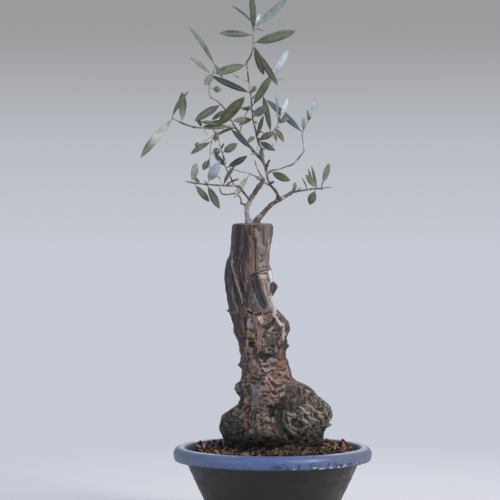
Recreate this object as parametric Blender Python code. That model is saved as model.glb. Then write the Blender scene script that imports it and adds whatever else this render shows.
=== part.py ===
"""An old olive trunk with young shoots, planted in a round plastic bowl.

All lengths are in millimetres and are turned to metres when a mesh is made.  The origin is the
centre of the bowl's flat foot, +Z is up, +X is the tree's right side and -Y is its front.
"""
import math

import bmesh
import bpy
from mathutils import Matrix, Vector

# Driving dimensions
GAP = 0.35                   # space left between pieces that touch on the real tree
RIM_RADIUS = 150.0           # outside of the rolled rim
POT_HEIGHT = 120.0
FOOT_RADIUS = 78.0
FOOT_ROUND = 2.5             # how far the flat foot stops short of the wall
WALL = 3.0
FLOOR = 6.0
LIP_DROP = 24.0              # height of the wall's own top below the rim's crest
LIP_SKIRT = 19.4             # how far the lip hangs below its crest
LIP_TAPER = 1.6              # how far the skirt leans in under the roll
LIP_WALL = 2.2
LIP_FLARE = 0.24             # outward slope of the inside above the wall
ROLL_RADIUS = 11.0           # outside of the rolled lip's round top
HOLLOW_RADIUS = 7.2          # round hollow under the lip
HOLLOW_HEIGHT = 107.0
WALL_TOP_RADIUS = 130.0
WALL_CURVE = 0.8             # below 1 the wall bellies out, 1 is a straight cone
POT_SIDES = 56
DRAIN_HOLES = 5
DRAIN_RADIUS = 6.0
DRAIN_CIRCLE = 48.0

SOIL_EDGE = 108.5            # height of the soil at the wall of the bowl
SOIL_CROWN = 117.5           # height of the soil against the trunk
SOIL_BASE = FLOOR + 0.5
SOIL_GAP = 0.8               # between the soil and the bowl, whose facets come inside its circle
ROOT_GAP = 0.6               # between the soil and the root ball
MOUND_RADIUS = 66.0          # the soil falls from here to the wall
HEAPS = ((-118, -8, 6.5), (96, -30, 5.0), (112, 22, 4.0))    # loose heaps: x, y and rise
HEAP_SPREAD = 26.0
SOIL_RIPPLE = 0.9

TRUNK_SIDES = 44
TRUNK_TOP = 459.0
TRUNK_GIRTH = 45.0           # mean radius, which turns a bearing into a distance on the bark
SAW_SLOPE = 0.06             # the saw cut falls towards the front
SAW_DROP = 1.5               # the middle of the cut below the trunk's top
SAW_EDGE = ((-1.6, 3.2), (-4.0, 1.5))    # worn edge of the cut: growth and drop, outside first
FLUTES = ((5, 0.020, 0.018), (8, 0.016, -0.012))    # folds: count, depth and twist per mm

STEM_SIDES = 8
STEM_STEP = 7.5              # distance between the rings of a stem
SHOOT_FOOT = 2.5             # the first upright stretch of a shoot on the saw cut
SHOOT_GAP = 0.65             # under a shoot, which stands on a sloping cut
STALK_RADIUS = 0.6
LEAF_THICKNESS = 1.1
LEAF_BLADE_STATIONS = 6
MIDRIB_RISE = 0.35           # share of a blade's thickness above its edges, the rest is keel
OLIVE_SIDES = 8
OLIVE_SHAPE = 2.5            # length of an olive over its radius

MM = 0.001

# Trunk outline, bottom to top: height, left, right, front and back reach from the pot's axis.
TRUNK_OUTLINE = (
    (84, -50, 52, -42, 44),
    (100, -62, 64, -53, 54),
    (117.5, -70, 73, -62, 62),
    (126, -71.5, 75, -64, 62),
    (134, -75, 75, -66, 62),
    (140, -77, 75, -67, 61),
    (147, -80, 77, -67, 60),
    (158, -78, 84, -65, 58),
    (165, -74.5, 86, -63, 57),
    (173, -66, 87, -60, 55),
    (183, -54, 82, -56, 52),
    (193, -50, 70, -51, 48),
    (203, -53, 62, -47, 45),
    (211, -53, 54, -44, 43),
    (221, -47, 33, -39, 40),
    (234, -46.5, 27.5, -36, 38),
    (243, -49, 25, -35, 37),
    (254, -47.5, 21.5, -34, 36),
    (265, -49, 19.5, -34, 35),
    (280, -52.5, 22.5, -36, 35),
    (290, -57, 21, -36, 34),
    (303, -59, 24.5, -36, 33),
    (317, -62.5, 16, -35, 32),
    (330, -65.5, 0.5, -33, 31),
    (344, -67.5, -2, -32, 30),
    (357, -69.5, -1.5, -31, 29),
    (364, -70, -2, -31, 29),
    (371, -71, -3, -31, 28),
    (384, -71, -3, -30, 28),
    (398, -69, -6.5, -29, 27),
    (411, -63.5, -6.5, -28, 26),
    (425, -62, -4.5, -27, 26),
    (439, -61.5, -2, -27, 26),
    (452, -60.5, -1.5, -26, 25),
)

# Swellings of the trunk: bearing in degrees (270 is the front), height, rise and spread.
BURLS = (
    (300, 150, 7, 20),
    (262, 140, 6, 14),
    (238, 152, 6, 16),
    (325, 190, 5, 16),
    (60, 150, 8, 22),
    (110, 170, 7, 20),
    (140, 215, 5, 16),
    (290, 285, 4, 12),
    (250, 375, 3, 22),
    (80, 300, 4, 20),
    (0, 361, 8, 8),
    (0, 326, 4, 9),
)

# Stems: host, then the points of the centre line as x, y, z and radius.
STEMS = {
    "shoot_left": ("trunk", (
        (-36.7, 16, 459.5, 3.6), (-38.8, 16, 471.6, 3.3), (-39.4, 14, 479.7, 3.4),
        (-34.7, 13, 490, 3.2), (-29.8, 11, 500, 3.2), (-23.1, 8, 510.1, 3.6),
        (-16.3, 4, 518.7, 2.9), (-13, 2, 524.1, 2.4),
    )),
    "shoot_right": ("trunk", (
        (-24.2, 17, 459.5, 4.2), (-16.2, 19, 470.3, 3.6), (-9.3, 24, 478.7, 3.3),
        (-2.6, 26, 485.5, 3.2), (4.3, 28, 490.4, 3.2), (11.1, 30, 494.4, 3.1),
        (18, 33, 498.1, 2.7), (25, 36, 502.1, 2.4), (31.9, 40, 506.4, 2.3),
        (40.3, 45, 507.8, 1.6), (54.2, 52, 510.2, 1.4), (68.3, 57, 512.1, 1.2),
        (77.2, 60, 511.7, 1.5),
    )),
    "limb": ("shoot_right", (
        (8.9, 26, 497.2, 2.3), (7.3, 23, 503.3, 2.0), (0.8, 19, 512.3, 1.9),
        (-5.4, 16, 519.2, 1.8), (-8.1, 13, 529.6, 1.8), (-10.2, 9, 540.8, 1.9),
        (-15.1, 6, 552.1, 2.0), (-27.9, -3, 565.5, 2.2), (-36.7, -8, 576.2, 2.0),
        (-46.7, -15, 589.2, 1.7), (-57.5, -21, 602.6, 1.6),
    )),
    "branch_left": ("limb", (
        (-60.5, -23, 602.6, 1.5), (-67, -26, 602, 1.3), (-87.8, -35, 600.3, 1.3),
        (-102.3, -42, 598.9, 1.2), (-118.9, -52, 600.2, 1.2), (-135, -60, 605.1, 1.1),
        (-149.4, -69, 611.9, 0.9),
    )),
    "leader": ("limb", (
        (-12.6, 11, 553.1, 1.4), (-14.9, 18, 563.9, 1.4), (-19, 24, 577.4, 1.3),
        (-22.8, 28, 585.3, 1.4), (-26.1, 31, 602.2, 1.2), (-29.2, 33, 614.7, 1.2),
        (-31.2, 31, 631.4, 1.2), (-31.8, 30, 640.9, 1.2), (-33.5, 26, 657.7, 1.15),
        (-36.4, 23, 676.7, 1.1), (-39.6, 19, 703.1, 1.1),
    )),
    "leader_tip": ("leader", (
        (-38.1, 19, 705.6, 0.9), (-34.8, 18, 709.7, 0.9), (-31.2, 16, 718.8, 0.85),
        (-28.9, 14, 731.4, 0.9), (-30, 13, 745.1, 0.8), (-26.8, 11, 754.6, 0.7),
        (-23.6, 9, 774.1, 0.6),
    )),
    "twig_right": ("limb", (
        (-5.9, 16, 534, 1.5), (-3.3, 19, 537.5, 1.5), (0.9, 23, 538.4, 1.2),
        (11.7, 28, 541.2, 1.1), (21.5, 35, 545.1, 1.05), (28.5, 40, 547.3, 1.05),
        (34.1, 45, 550.9, 1.1), (39, 50, 556.7, 1.1), (44.5, 53, 563, 1.2),
    )),
    "sprig_right": ("twig_right", (
        (46.9, 55, 565, 0.7), (49.3, 57, 570.1, 0.7), (48.4, 58, 577.8, 0.65),
        (46.9, 62, 593.6, 0.6), (46.7, 64, 599.1, 0.8), (51.6, 67, 608.3, 0.6),
        (58.9, 72, 622.8, 0.6), (60.7, 74, 627.8, 0.6),
    )),
    "twig_low_left": ("shoot_left", (
        (-34.2, 9, 491.6, 1.6), (-37.4, 4, 496.3, 1.5), (-45.1, -8, 505.3, 1.5),
        (-51.8, -20, 512.9, 1.6), (-64.8, -28, 513.4, 1.4), (-81.5, -37, 513.8, 1.3),
        (-100.3, -47, 514.9, 1.2), (-120.6, -57, 516.8, 1.1), (-129.7, -62, 519, 0.9),
    )),
    "twig_hook": ("shoot_left", (
        (-44, 21, 474.2, 1.2), (-46.9, 24, 486, 1.1), (-49.2, 30, 498.7, 1.1),
        (-55.7, 30, 503, 1.3), (-67.1, 26, 502.4, 1.1), (-75.6, 21, 500.8, 1.0),
        (-79.5, 16, 507.6, 0.9), (-80.5, 14, 512.6, 0.9),
    )),
    "twig_cluster": ("twig_low_left", (
        (-55, -23, 517.3, 0.9), (-62.7, -26, 525, 0.9), (-69.4, -32, 537.6, 0.9),
        (-73.1, -35, 550.5, 0.9), (-75.5, -38, 563.3, 0.8), (-79.2, -40, 573.1, 0.8),
        (-81.7, -42, 585.5, 0.7), (-82.4, -42, 594.5, 0.7),
    )),
    "branch_back": ("limb", (
        (-2.6, 23, 513.8, 1.0), (-12, 33, 520.3, 1.0), (-24.4, 42, 529.5, 0.9),
        (-36.7, 45, 535.2, 0.9), (-47, 45, 537.2, 0.8), (-59.3, 43, 541, 0.8),
        (-68.1, 42, 544.2, 0.7),
    )),
    "twig_hang": ("branch_left", (
        (-87.6, -38, 597.3, 0.9), (-87.1, -45, 588.3, 0.8), (-91.5, -49, 579.1, 0.8),
        (-93.1, -52, 565.6, 0.8), (-93.8, -52, 550.7, 0.8), (-94.6, -52, 540.3, 0.8),
        (-91.9, -52, 532.9, 0.8), (-85.5, -50, 528.5, 0.8), (-78.3, -49, 524.1, 0.8),
    )),
    "twig_zigzag": ("limb", (
        (-60.4, -18, 605.8, 1.0), (-67.3, -18, 621.6, 1.0), (-77.6, -20, 635.8, 1.0),
        (-87.6, -21, 643.2, 0.95), (-96, -23, 649.8, 0.9), (-95.3, -25, 659.5, 0.8),
        (-94.3, -26, 669.9, 0.8), (-89.3, -28, 682.3, 0.7), (-86.8, -30, 695.6, 0.7),
    )),
    "twig_upper_right": ("leader", (
        (-31.3, 31, 647.5, 0.8), (-21.9, 40, 659.8, 0.8), (-12.7, 47, 671.2, 0.8),
        (-4.9, 52, 678.6, 0.7),
    )),
    "twig_centre_right": ("leader", (
        (-20.8, 31, 582.4, 0.9), (-11.2, 42, 589.2, 0.9), (-2.6, 48, 596.5, 0.9),
        (3.3, 53, 602.3, 0.8), (7.5, 57, 608.7, 0.8), (9.9, 58, 615, 0.7),
    )),
}

# Leaves: host, a place near the seat, the tip, then the stalk's length, the blade's width, its
# turn in degrees (0 shows the upper face to the front, 180 the underside) and its arch.
LEAVES = (
    ("leader_tip", (-30, 13, 745), (-32, 4, 808), 3, 10, 20, 3),
    ("leader_tip", (-26, 11, 756), (22, -4, 798), 4, 11, 200, -3),
    ("leader_tip", (-30, 13, 744), (-81, -5, 745), 4, 10.5, 165, 4),
    ("leader_tip", (-29, 14, 732), (36, 24, 752), 3, 15, 15, 3),
    ("leader_tip", (-29, 14, 733), (-13, 31, 685), 3, 11.5, 10, 4),
    ("leader_tip", (-30, 14, 726), (8, -3, 666), 8, 10, -10, 4),
    ("leader", (-31, 31, 636), (-1, 10, 684), 3, 12, 10, 3),
    ("leader", (-39, 19, 700), (-88, 10, 685), 3, 13.5, 10, 3),
    ("leader", (-33, 26, 657), (-94, 4, 682), 3, 10, -15, 4),
    ("leader", (-30, 33, 618), (-60, 20, 614), 2, 9, 10, 2),
    ("leader", (-31, 33, 621), (-9, -5, 635), 3, 12.5, 10, 3),
    ("leader", (-23, 28, 584), (4, 2, 568), 4, 9.5, 10, 3),
    ("leader", (-23, 28, 585), (3, 7, 595), 4, 10, -10, 3),
    ("twig_upper_right", (-4, 47, 679), (26, 67, 728), 4, 11.5, 190, -3),
    ("twig_centre_right", (7, 57, 607), (1, 44, 577), 4, 10.5, 170, 3),
    ("twig_centre_right", (-2, 48, 598), (-14, 31, 653), 4, 9, 10, 3),
    ("twig_zigzag", (-87, -30, 694), (-124, -51, 748), 4, 7.5, 30, 5),
    ("twig_zigzag", (-90, -28, 678), (-123, -53, 703), 5, 8, 35, 3),
    ("twig_zigzag", (-78, -20, 636), (-117, -46, 609), 3, 12, 10, 3),
    ("branch_left", (-135, -60, 605), (-134, -77, 650), 3, 12, 170, 3),
    ("branch_left", (-148, -69, 611), (-194, -100, 552), 3, 12.5, 160, 5),
    ("branch_left", (-85, -35, 600), (-42, -57, 644), 4, 16.5, 5, 3),
    ("branch_left", (-66, -26, 602), (-31, -41, 568), 5, 8, 10, 3),
    ("twig_hang", (-91, -49, 579), (-122, -69, 558), 3, 8.5, 20, 4),
    ("twig_hang", (-94, -52, 554), (-103, -65, 535), 3, 9.5, 15, 2),
    ("twig_cluster", (-75, -38, 562), (-53, -58, 575), 3, 11.5, 5, 2),
    ("twig_cluster", (-70, -32, 540), (-38, -48, 557), 4, 9.5, 10, 3),
    ("twig_low_left", (-98, -47, 515), (-79, -75, 549), 7, 13.5, 190, -3),
    ("twig_low_left", (-122, -57, 517), (-113, -74, 545), 3, 12.5, 150, 2),
    ("twig_low_left", (-117, -57, 516), (-95, -40, 489), 3, 9.5, 10, 2),
    ("twig_low_left", (-98, -47, 515), (-79, -64, 478), 4, 11, 5, 2),
    ("branch_back", (-34, 45, 534), (-59, 15, 496), 5, 10, 150, 2),
    ("twig_right", (-4, 19, 536), (27, 1, 522), 4, 11.5, 10, 4),
    ("shoot_right", (71, 57, 512), (51, 35, 532), 4, 11, 20, 2),
    ("shoot_right", (75, 60, 512), (89, 71, 552), 9, 9.5, 15, 2),
    ("shoot_right", (68, 57, 512), (58, 61, 487), 3, 12.5, 10, 2),
    ("sprig_right", (47, 64, 599), (-9, 75, 651), 3, 11, 10, 5),
    ("sprig_right", (61, 74, 628), (70, 78, 651), 3, 9, 170, 2),
)

# Olives: host, a place near the seat, the fruit's far end, and the fruit's radius.
OLIVES = {
    "olive_zigzag": ("twig_zigzag", (-95, -25, 660), (-78, -30, 657), 4.6),
    "olive_cluster": ("twig_cluster", (-78, -38, 566), (-88, -51, 563), 5.2),
    "olive_hang": ("twig_hang", (-87, -45, 592), (-114, -80, 570), 3.6),
}

BARK = ((0.20, 0.15, 0.13, 1), 0.85)
YOUNG_BARK = ((0.24, 0.22, 0.20, 1), 0.7)
BLUE_PLASTIC = ((0.09, 0.12, 0.19, 1), 0.45)
MULCH = ((0.10, 0.06, 0.045, 1), 0.95)
LEAF_GREEN = ((0.13, 0.17, 0.11, 1), 0.5)
OLIVE_GREEN = ((0.10, 0.17, 0.08, 1), 0.35)


def clear_scene():
    for thing in list(bpy.data.objects):
        bpy.data.objects.remove(thing, do_unlink=True)


def make_material(name, finish):
    colour, roughness = finish
    material = bpy.data.materials.new(name)
    material.use_nodes = True
    shader = material.node_tree.nodes["Principled BSDF"]
    shader.inputs["Base Color"].default_value = colour
    shader.inputs["Roughness"].default_value = roughness
    shader.inputs["Metallic"].default_value = 0.0
    material.diffuse_color = colour
    return material


def add_object(name, rings, finish, tip_points=(None, None)):
    """One closed body skinned over rings, each end capped flat or fanned to a point."""
    bm = bmesh.new()
    rows = [[bm.verts.new(Vector(point) * MM) for point in ring] for ring in rings]
    for lower, upper in zip(rows, rows[1:]):
        for i in range(len(lower)):
            j = (i + 1) % len(lower)
            bm.faces.new((lower[i], lower[j], upper[j], upper[i]))
    for row, point in zip((rows[0], rows[-1]), tip_points):
        if point is None:
            bm.faces.new(row)
            continue
        centre = bm.verts.new(Vector(point) * MM)
        for i in range(len(row)):
            bm.faces.new((row[i], row[(i + 1) % len(row)], centre))
    bmesh.ops.recalc_face_normals(bm, faces=bm.faces)
    return link_mesh(name, bm, finish)


def link_mesh(name, bm, finish):
    mesh = bpy.data.meshes.new(name)
    bm.to_mesh(mesh)
    bm.free()
    thing = bpy.data.objects.new(name, mesh)
    bpy.context.scene.collection.objects.link(thing)
    mesh.materials.append(make_material(name, finish))
    mesh.shade_smooth()
    mesh.set_sharp_from_angle(angle=math.radians(50))
    return thing


def arc(radius, height, reach, start, end, steps):
    """A round stretch of a section about one point, from start to end in degrees."""
    turns = [math.radians(start + (end - start) * i / (steps - 1)) for i in range(steps)]
    return [(radius + reach * math.cos(turn), height + reach * math.sin(turn)) for turn in turns]


def circle(radius, height, sides):
    step = math.tau / sides
    return [(radius * math.cos(i * step), radius * math.sin(i * step), height)
            for i in range(sides)]


# Pot ------------------------------------------------------------------------------------------

def wall_radius(height):
    """Outside radius of the bowl's wall."""
    wall_height = POT_HEIGHT - LIP_DROP
    share = min(max(height / wall_height, 0.0), 1.0)
    return FOOT_RADIUS + (WALL_TOP_RADIUS - FOOT_RADIUS) * share ** WALL_CURVE


def inner_radius(height):
    """Inside radius of the bowl, from its floor up to the rim."""
    inside = wall_radius(height) - WALL
    above_wall = max(height - (POT_HEIGHT - LIP_DROP), 0.0)
    return inside + LIP_FLARE * above_wall


def pot_profile():
    """The wall's section as radius and height, from the foot up, over the rim and down inside."""
    top = POT_HEIGHT - LIP_DROP
    skirt = POT_HEIGHT - LIP_SKIRT
    skirt_radius = RIM_RADIUS - LIP_TAPER
    foot = [(FOOT_RADIUS - FOOT_ROUND, 0.0), (wall_radius(FOOT_ROUND), FOOT_ROUND)]
    outside = [(wall_radius(z), z) for z in (10, 24, 38, 52, 66, 80, top)]
    hollow_middle = RIM_RADIUS - LIP_WALL - HOLLOW_RADIUS - 1.0
    hollow = arc(hollow_middle, HOLLOW_HEIGHT, HOLLOW_RADIUS, 180, 0, 6)
    edge = [(skirt_radius - LIP_WALL, skirt + 1.4), (skirt_radius, skirt)]
    roll = arc(RIM_RADIUS - ROLL_RADIUS, POT_HEIGHT - ROLL_RADIUS, ROLL_RADIUS, 0, 112, 7)
    inside = [(inner_radius(z), z) for z in (114.5, 107.0, top, 74, 52, 30, 14)]
    floor = [(inner_radius(FLOOR) - FOOT_ROUND - 1.5, FLOOR)]
    return foot + outside + hollow + edge + roll + inside + floor


def drain_cutter():
    bm = bmesh.new()
    for i in range(DRAIN_HOLES):
        bearing = i * math.tau / DRAIN_HOLES
        place = Vector((math.cos(bearing), math.sin(bearing), 0)) * DRAIN_CIRCLE * MM
        bmesh.ops.create_cone(bm, cap_ends=True, segments=14, radius1=DRAIN_RADIUS * MM,
                              radius2=DRAIN_RADIUS * MM, depth=4 * FLOOR * MM,
                              matrix=Matrix.Translation(place))
    cutter = link_mesh("drain_cutter", bm, BLUE_PLASTIC)
    cutter.hide_render = True
    cutter.display_type = "WIRE"
    return cutter


def make_pot():
    rings = [circle(radius, height, POT_SIDES) for radius, height in pot_profile()]
    pot = add_object("pot", rings, BLUE_PLASTIC)
    drains = pot.modifiers.new("drains", "BOOLEAN")
    drains.operation = "DIFFERENCE"
    drains.solver = "EXACT"
    drains.object = drain_cutter()
    return pot


# Trunk and soil -------------------------------------------------------------------------------

def burl_rise(bearing, height):
    """How far the swellings push the bark out at one place."""
    rise = 0.0
    for centre, level, reach, spread in BURLS:
        turn = (bearing - centre + 180.0) % 360.0 - 180.0
        across = math.radians(turn) * TRUNK_GIRTH
        rise += reach * math.exp(-(across ** 2 + (height - level) ** 2) / spread ** 2)
    return rise


def flutes(bearing, height):
    """Shallow folds that run up the trunk and turn a little with height."""
    angle = math.radians(bearing)
    return 1.0 + sum(depth * math.sin(count * angle + twist * height)
                     for count, depth, twist in FLUTES)


def trunk_ring(outline, grow=0.0):
    height, left, right, front, back = outline
    centre_x = (left + right) / 2
    centre_y = (front + back) / 2
    half_x = (right - left) / 2
    half_y = (back - front) / 2
    ring = []
    for i in range(TRUNK_SIDES):
        bearing = 360.0 * i / TRUNK_SIDES
        angle = math.radians(bearing)
        out = Vector((math.cos(angle) * half_x, math.sin(angle) * half_y, 0))
        out *= flutes(bearing, height)
        out += out.normalized() * (burl_rise(bearing, height) + grow)
        ring.append(Vector((centre_x + out.x, centre_y + out.y, height)))
    return ring


def saw_cut(ring, height):
    """The ring laid on the sloping plane of the saw cut."""
    return [Vector((point.x, point.y, height + SAW_SLOPE * point.y)) for point in ring]


def make_trunk():
    rings = [trunk_ring(outline) for outline in TRUNK_OUTLINE]
    top = TRUNK_OUTLINE[-1]
    rings.extend(saw_cut(trunk_ring(top, grow), TRUNK_TOP - drop) for grow, drop in SAW_EDGE)
    middle = ((top[1] + top[2]) / 2, 0.0, TRUNK_TOP - SAW_DROP)
    return add_object("trunk", rings, BARK, (None, middle))


def soil_height(x, y):
    """Height of the mounded soil: high against the trunk, with loose heaps at both sides."""
    share = min(max((math.hypot(x, y) - MOUND_RADIUS) / MOUND_RADIUS, 0.0), 1.0)
    level = SOIL_CROWN + (SOIL_EDGE - SOIL_CROWN) * share
    for heap_x, heap_y, rise in HEAPS:
        away = math.hypot(x - heap_x, y - heap_y)
        level += rise * math.exp(-(away / HEAP_SPREAD) ** 2)
    return level + share * SOIL_RIPPLE * math.sin(7 * math.atan2(y, x) + 0.6)


def make_soil():
    """A ring of soil round the root ball, closed under it."""
    pocket = [trunk_ring(outline, ROOT_GAP) for outline in TRUNK_OUTLINE[:3]]
    for point in pocket[0]:
        point.z -= ROOT_GAP
    rings = list(pocket)
    edge_radius = inner_radius(SOIL_EDGE) - SOIL_GAP
    for share in (0.2, 0.45, 0.72, 0.9, 1.0):
        ring = []
        for i, point in enumerate(pocket[-1]):
            bearing = math.tau * i / TRUNK_SIDES
            x = point.x + (edge_radius * math.cos(bearing) - point.x) * share
            y = point.y + (edge_radius * math.sin(bearing) - point.y) * share
            ring.append(Vector((x, y, soil_height(x, y))))
        rings.append(ring)
    for height in (96, 60, 30, 14):
        rings.append(circle(inner_radius(height) - SOIL_GAP, height, TRUNK_SIDES))
    base_radius = inner_radius(FLOOR) - 2 * FOOT_ROUND
    rings.append(circle(base_radius, SOIL_BASE, TRUNK_SIDES))
    return add_object("soil", rings, MULCH)


# Stems ----------------------------------------------------------------------------------------

def spline(points, step):
    """Points a step apart on a smooth curve through the given ones, each with its radius."""
    route = []
    for i in range(len(points) - 1):
        before = points[max(i - 1, 0)]
        start, end = points[i], points[i + 1]
        after = points[min(i + 2, len(points) - 1)]
        length = (Vector(end[:3]) - Vector(start[:3])).length
        pieces = max(1, round(length / step))
        for k in range(pieces):
            t = k / pieces
            weights = (-t ** 3 + 2 * t ** 2 - t, 3 * t ** 3 - 5 * t ** 2 + 2,
                       -3 * t ** 3 + 4 * t ** 2 + t, t ** 3 - t ** 2)
            corners = (before, start, end, after)
            route.append([sum(w * c[axis] for w, c in zip(weights, corners)) / 2
                          for axis in range(4)])
    route.append(list(points[-1]))
    return route


def thin_out(points, step):
    """Drops points that lie closer than a step to the last one kept, but keeps both ends."""
    kept = [points[0]]
    for point in points[1:-1]:
        if (Vector(point[:3]) - Vector(kept[-1][:3])).length >= step:
            kept.append(point)
    if (Vector(points[-1][:3]) - Vector(kept[-1][:3])).length < step * 0.6 and len(kept) > 1:
        kept.pop()
    kept.append(points[-1])
    return kept


def tube_rings(route, sides):
    """Rings of a tube along a route of x, y, z and radius, carried round the bends untwisted."""
    centres = [Vector(point[:3]) for point in route]
    tangents = []
    for i in range(len(centres)):
        ahead = centres[min(i + 1, len(centres) - 1)]
        behind = centres[max(i - 1, 0)]
        tangents.append((ahead - behind).normalized())
    side = tangents[0].orthogonal().normalized()
    rings = []
    for centre, tangent, point in zip(centres, tangents, route):
        side = (side - tangent * side.dot(tangent)).normalized()
        other = tangent.cross(side)
        ring = []
        for k in range(sides):
            angle = math.tau * k / sides
            ring.append(centre + (side * math.cos(angle) + other * math.sin(angle)) * point[3])
        rings.append(ring)
    return rings


def nearest_on(route, place):
    """The nearest point of a route, its direction and radius there, and whether it is an end."""
    place = Vector(place[:3])
    best = None
    for i in range(len(route) - 1):
        start, end = Vector(route[i][:3]), Vector(route[i + 1][:3])
        span = end - start
        t = min(max((place - start).dot(span) / span.length_squared, 0.0), 1.0)
        point = start + span * t
        distance = (place - point).length
        if best is None or distance < best[0]:
            radius = route[i][3] + (route[i + 1][3] - route[i][3]) * t
            at_end = i == len(route) - 2 and t == 1.0
            best = (distance, point, span.normalized(), radius, at_end)
    return best[1:]


def seat_on(route, place, heading, girth):
    """Where a piece of this girth starts so that it just clears the bark of its host."""
    point, along, radius, at_end = nearest_on(route, place)
    heading = heading.normalized()
    cosine = abs(heading.dot(along))
    sine = max(math.sqrt(max(1.0 - cosine ** 2, 0.0)), 0.35)
    if at_end and heading.dot(along) > 0.5:
        reach = (GAP + (radius + girth) * heading.cross(along).length) / cosine
    else:
        reach = (radius + GAP + girth * cosine) / sine
    return point + heading * reach


def make_stem(name, routes):
    host, points = STEMS[name]
    points = [list(point) for point in points]
    if host == "trunk":
        x, y, _, radius = points[0]
        points[0][2] = TRUNK_TOP - SAW_DROP + SAW_SLOPE * y + SHOOT_GAP
        points.insert(1, [x, y, points[0][2] + SHOOT_FOOT, radius])
    else:
        heading = Vector(points[1][:3]) - Vector(points[0][:3])
        points[0][:3] = seat_on(routes[host], points[0], heading, points[0][3])
        if (Vector(points[1][:3]) - Vector(points[0][:3])).length < SHOOT_FOOT:
            points.pop(1)
    route = thin_out(spline(points, STEM_STEP / 2), STEM_STEP)
    if host == "trunk":
        route.insert(1, points[1])
    routes[name] = route
    return add_object(name, tube_rings(route, STEM_SIDES), YOUNG_BARK)


# Leaves and fruit -----------------------------------------------------------------------------

def blade_share(t):
    """Half-width of a lance-shaped blade, as a share of its widest, from its foot to its tip."""
    return math.sin(math.pi * t ** 0.9) ** 0.75 if 0.0 < t < 1.0 else 0.0


def make_leaf(name, routes, leaf):
    """A blade on its stalk: a lens-shaped section whose keel lies under the midrib."""
    host, place, tip, stalk, width, turn, arch = leaf
    tip = Vector(tip)
    on_host = nearest_on(routes[host], place)[0]
    seat = seat_on(routes[host], place, tip - on_host, STALK_RADIUS + 0.1)
    chord = tip - seat
    length = chord.length
    along = chord.normalized()
    front = Vector((0, -1, 0))
    face = (front - along * front.dot(along)).normalized()
    face = Matrix.Rotation(math.radians(turn), 3, along) @ face
    side = along.cross(face)
    blade = length - stalk
    stations = [(0.0, STALK_RADIUS, STALK_RADIUS), (stalk / length, 0.75, 0.7)]
    for k in range(1, LEAF_BLADE_STATIONS + 1):
        t = k / (LEAF_BLADE_STATIONS + 1)
        thickness = LEAF_THICKNESS * (1.0 - 0.35 * t)
        stations.append(((stalk + blade * t) / length, width / 2 * blade_share(t), thickness))
    stations.append((1.0, 0.45, 0.5))
    rings = []
    for share, half_width, thickness in stations:
        lift = arch * 4 * share * (1.0 - share)
        centre = seat + chord * share + face * lift
        rings.append([
            centre + side * half_width,
            centre + face * thickness * MIDRIB_RISE,
            centre - side * half_width,
            centre - face * thickness * (1.0 - MIDRIB_RISE),
        ])
    return add_object(name, rings, LEAF_GREEN)


def make_olive(name, routes):
    """A young fruit with its stalk, turned about the line from its seat to its far end."""
    host, place, end, radius = OLIVES[name]
    end = Vector(end)
    seat = seat_on(routes[host], place, end - Vector(place), STALK_RADIUS)
    chord = end - seat
    fruit = min(radius * OLIVE_SHAPE / chord.length, 0.8)
    route = [(*seat, STALK_RADIUS), (*(seat + chord * (1 - fruit)), STALK_RADIUS)]
    for k in range(1, 8):
        t = k / 8
        middle = seat + chord * (1 - fruit * (1 - t))
        route.append((*middle, radius * math.sin(math.pi * t) ** 0.6))
    route.append((*end, radius * 0.18))
    return add_object(name, tube_rings(route, OLIVE_SIDES), OLIVE_GREEN)


def main():
    clear_scene()
    make_pot()
    make_trunk()
    make_soil()
    routes = {}
    for name in STEMS:
        make_stem(name, routes)
    counts = {}
    for leaf in LEAVES:
        host = leaf[0]
        counts[host] = counts.get(host, 0) + 1
        make_leaf(f"leaf_{host}_{counts[host]}", routes, leaf)
    for name in OLIVES:
        make_olive(name, routes)


main()
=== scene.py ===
# %% [markdown]
# # An old olive in a plastic bowl
#
# A thick sawn stump of an olive tree has grown young shoots from its top.  It stands in bark
# mulch in a round plastic bowl.  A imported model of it, the frame, already says where every piece
# is and how big it is.  This lesson gives each piece its real surface: first the helpers, then
# the bowl, the soil, the trunk, the shoots, the leaves and the fruit, and last the light.

# %% Load the frame
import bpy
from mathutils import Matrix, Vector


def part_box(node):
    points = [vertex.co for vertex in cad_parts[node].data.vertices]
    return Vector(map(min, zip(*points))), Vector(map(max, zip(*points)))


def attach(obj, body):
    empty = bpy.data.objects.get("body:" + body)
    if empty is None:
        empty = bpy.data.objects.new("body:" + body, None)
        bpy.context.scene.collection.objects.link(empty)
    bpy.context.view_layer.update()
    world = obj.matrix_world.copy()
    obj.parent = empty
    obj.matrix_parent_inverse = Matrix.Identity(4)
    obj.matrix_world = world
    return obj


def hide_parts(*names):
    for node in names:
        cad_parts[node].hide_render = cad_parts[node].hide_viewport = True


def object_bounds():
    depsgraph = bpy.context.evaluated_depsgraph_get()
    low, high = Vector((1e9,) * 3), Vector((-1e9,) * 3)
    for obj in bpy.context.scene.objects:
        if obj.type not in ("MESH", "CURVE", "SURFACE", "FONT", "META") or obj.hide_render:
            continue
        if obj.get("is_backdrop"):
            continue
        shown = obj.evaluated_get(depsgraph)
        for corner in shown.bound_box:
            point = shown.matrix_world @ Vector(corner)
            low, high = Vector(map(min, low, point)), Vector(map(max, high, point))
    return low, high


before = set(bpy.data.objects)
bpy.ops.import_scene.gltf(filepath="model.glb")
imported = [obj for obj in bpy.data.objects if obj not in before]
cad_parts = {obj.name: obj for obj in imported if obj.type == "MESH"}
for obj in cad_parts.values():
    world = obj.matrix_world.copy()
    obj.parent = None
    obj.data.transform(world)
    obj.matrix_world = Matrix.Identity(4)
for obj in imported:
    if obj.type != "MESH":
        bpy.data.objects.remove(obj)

frame_low, frame_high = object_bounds()
print("frame size", [round(side, 3) for side in frame_high - frame_low])

# %% Libraries, units and the random draws
import math

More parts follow.
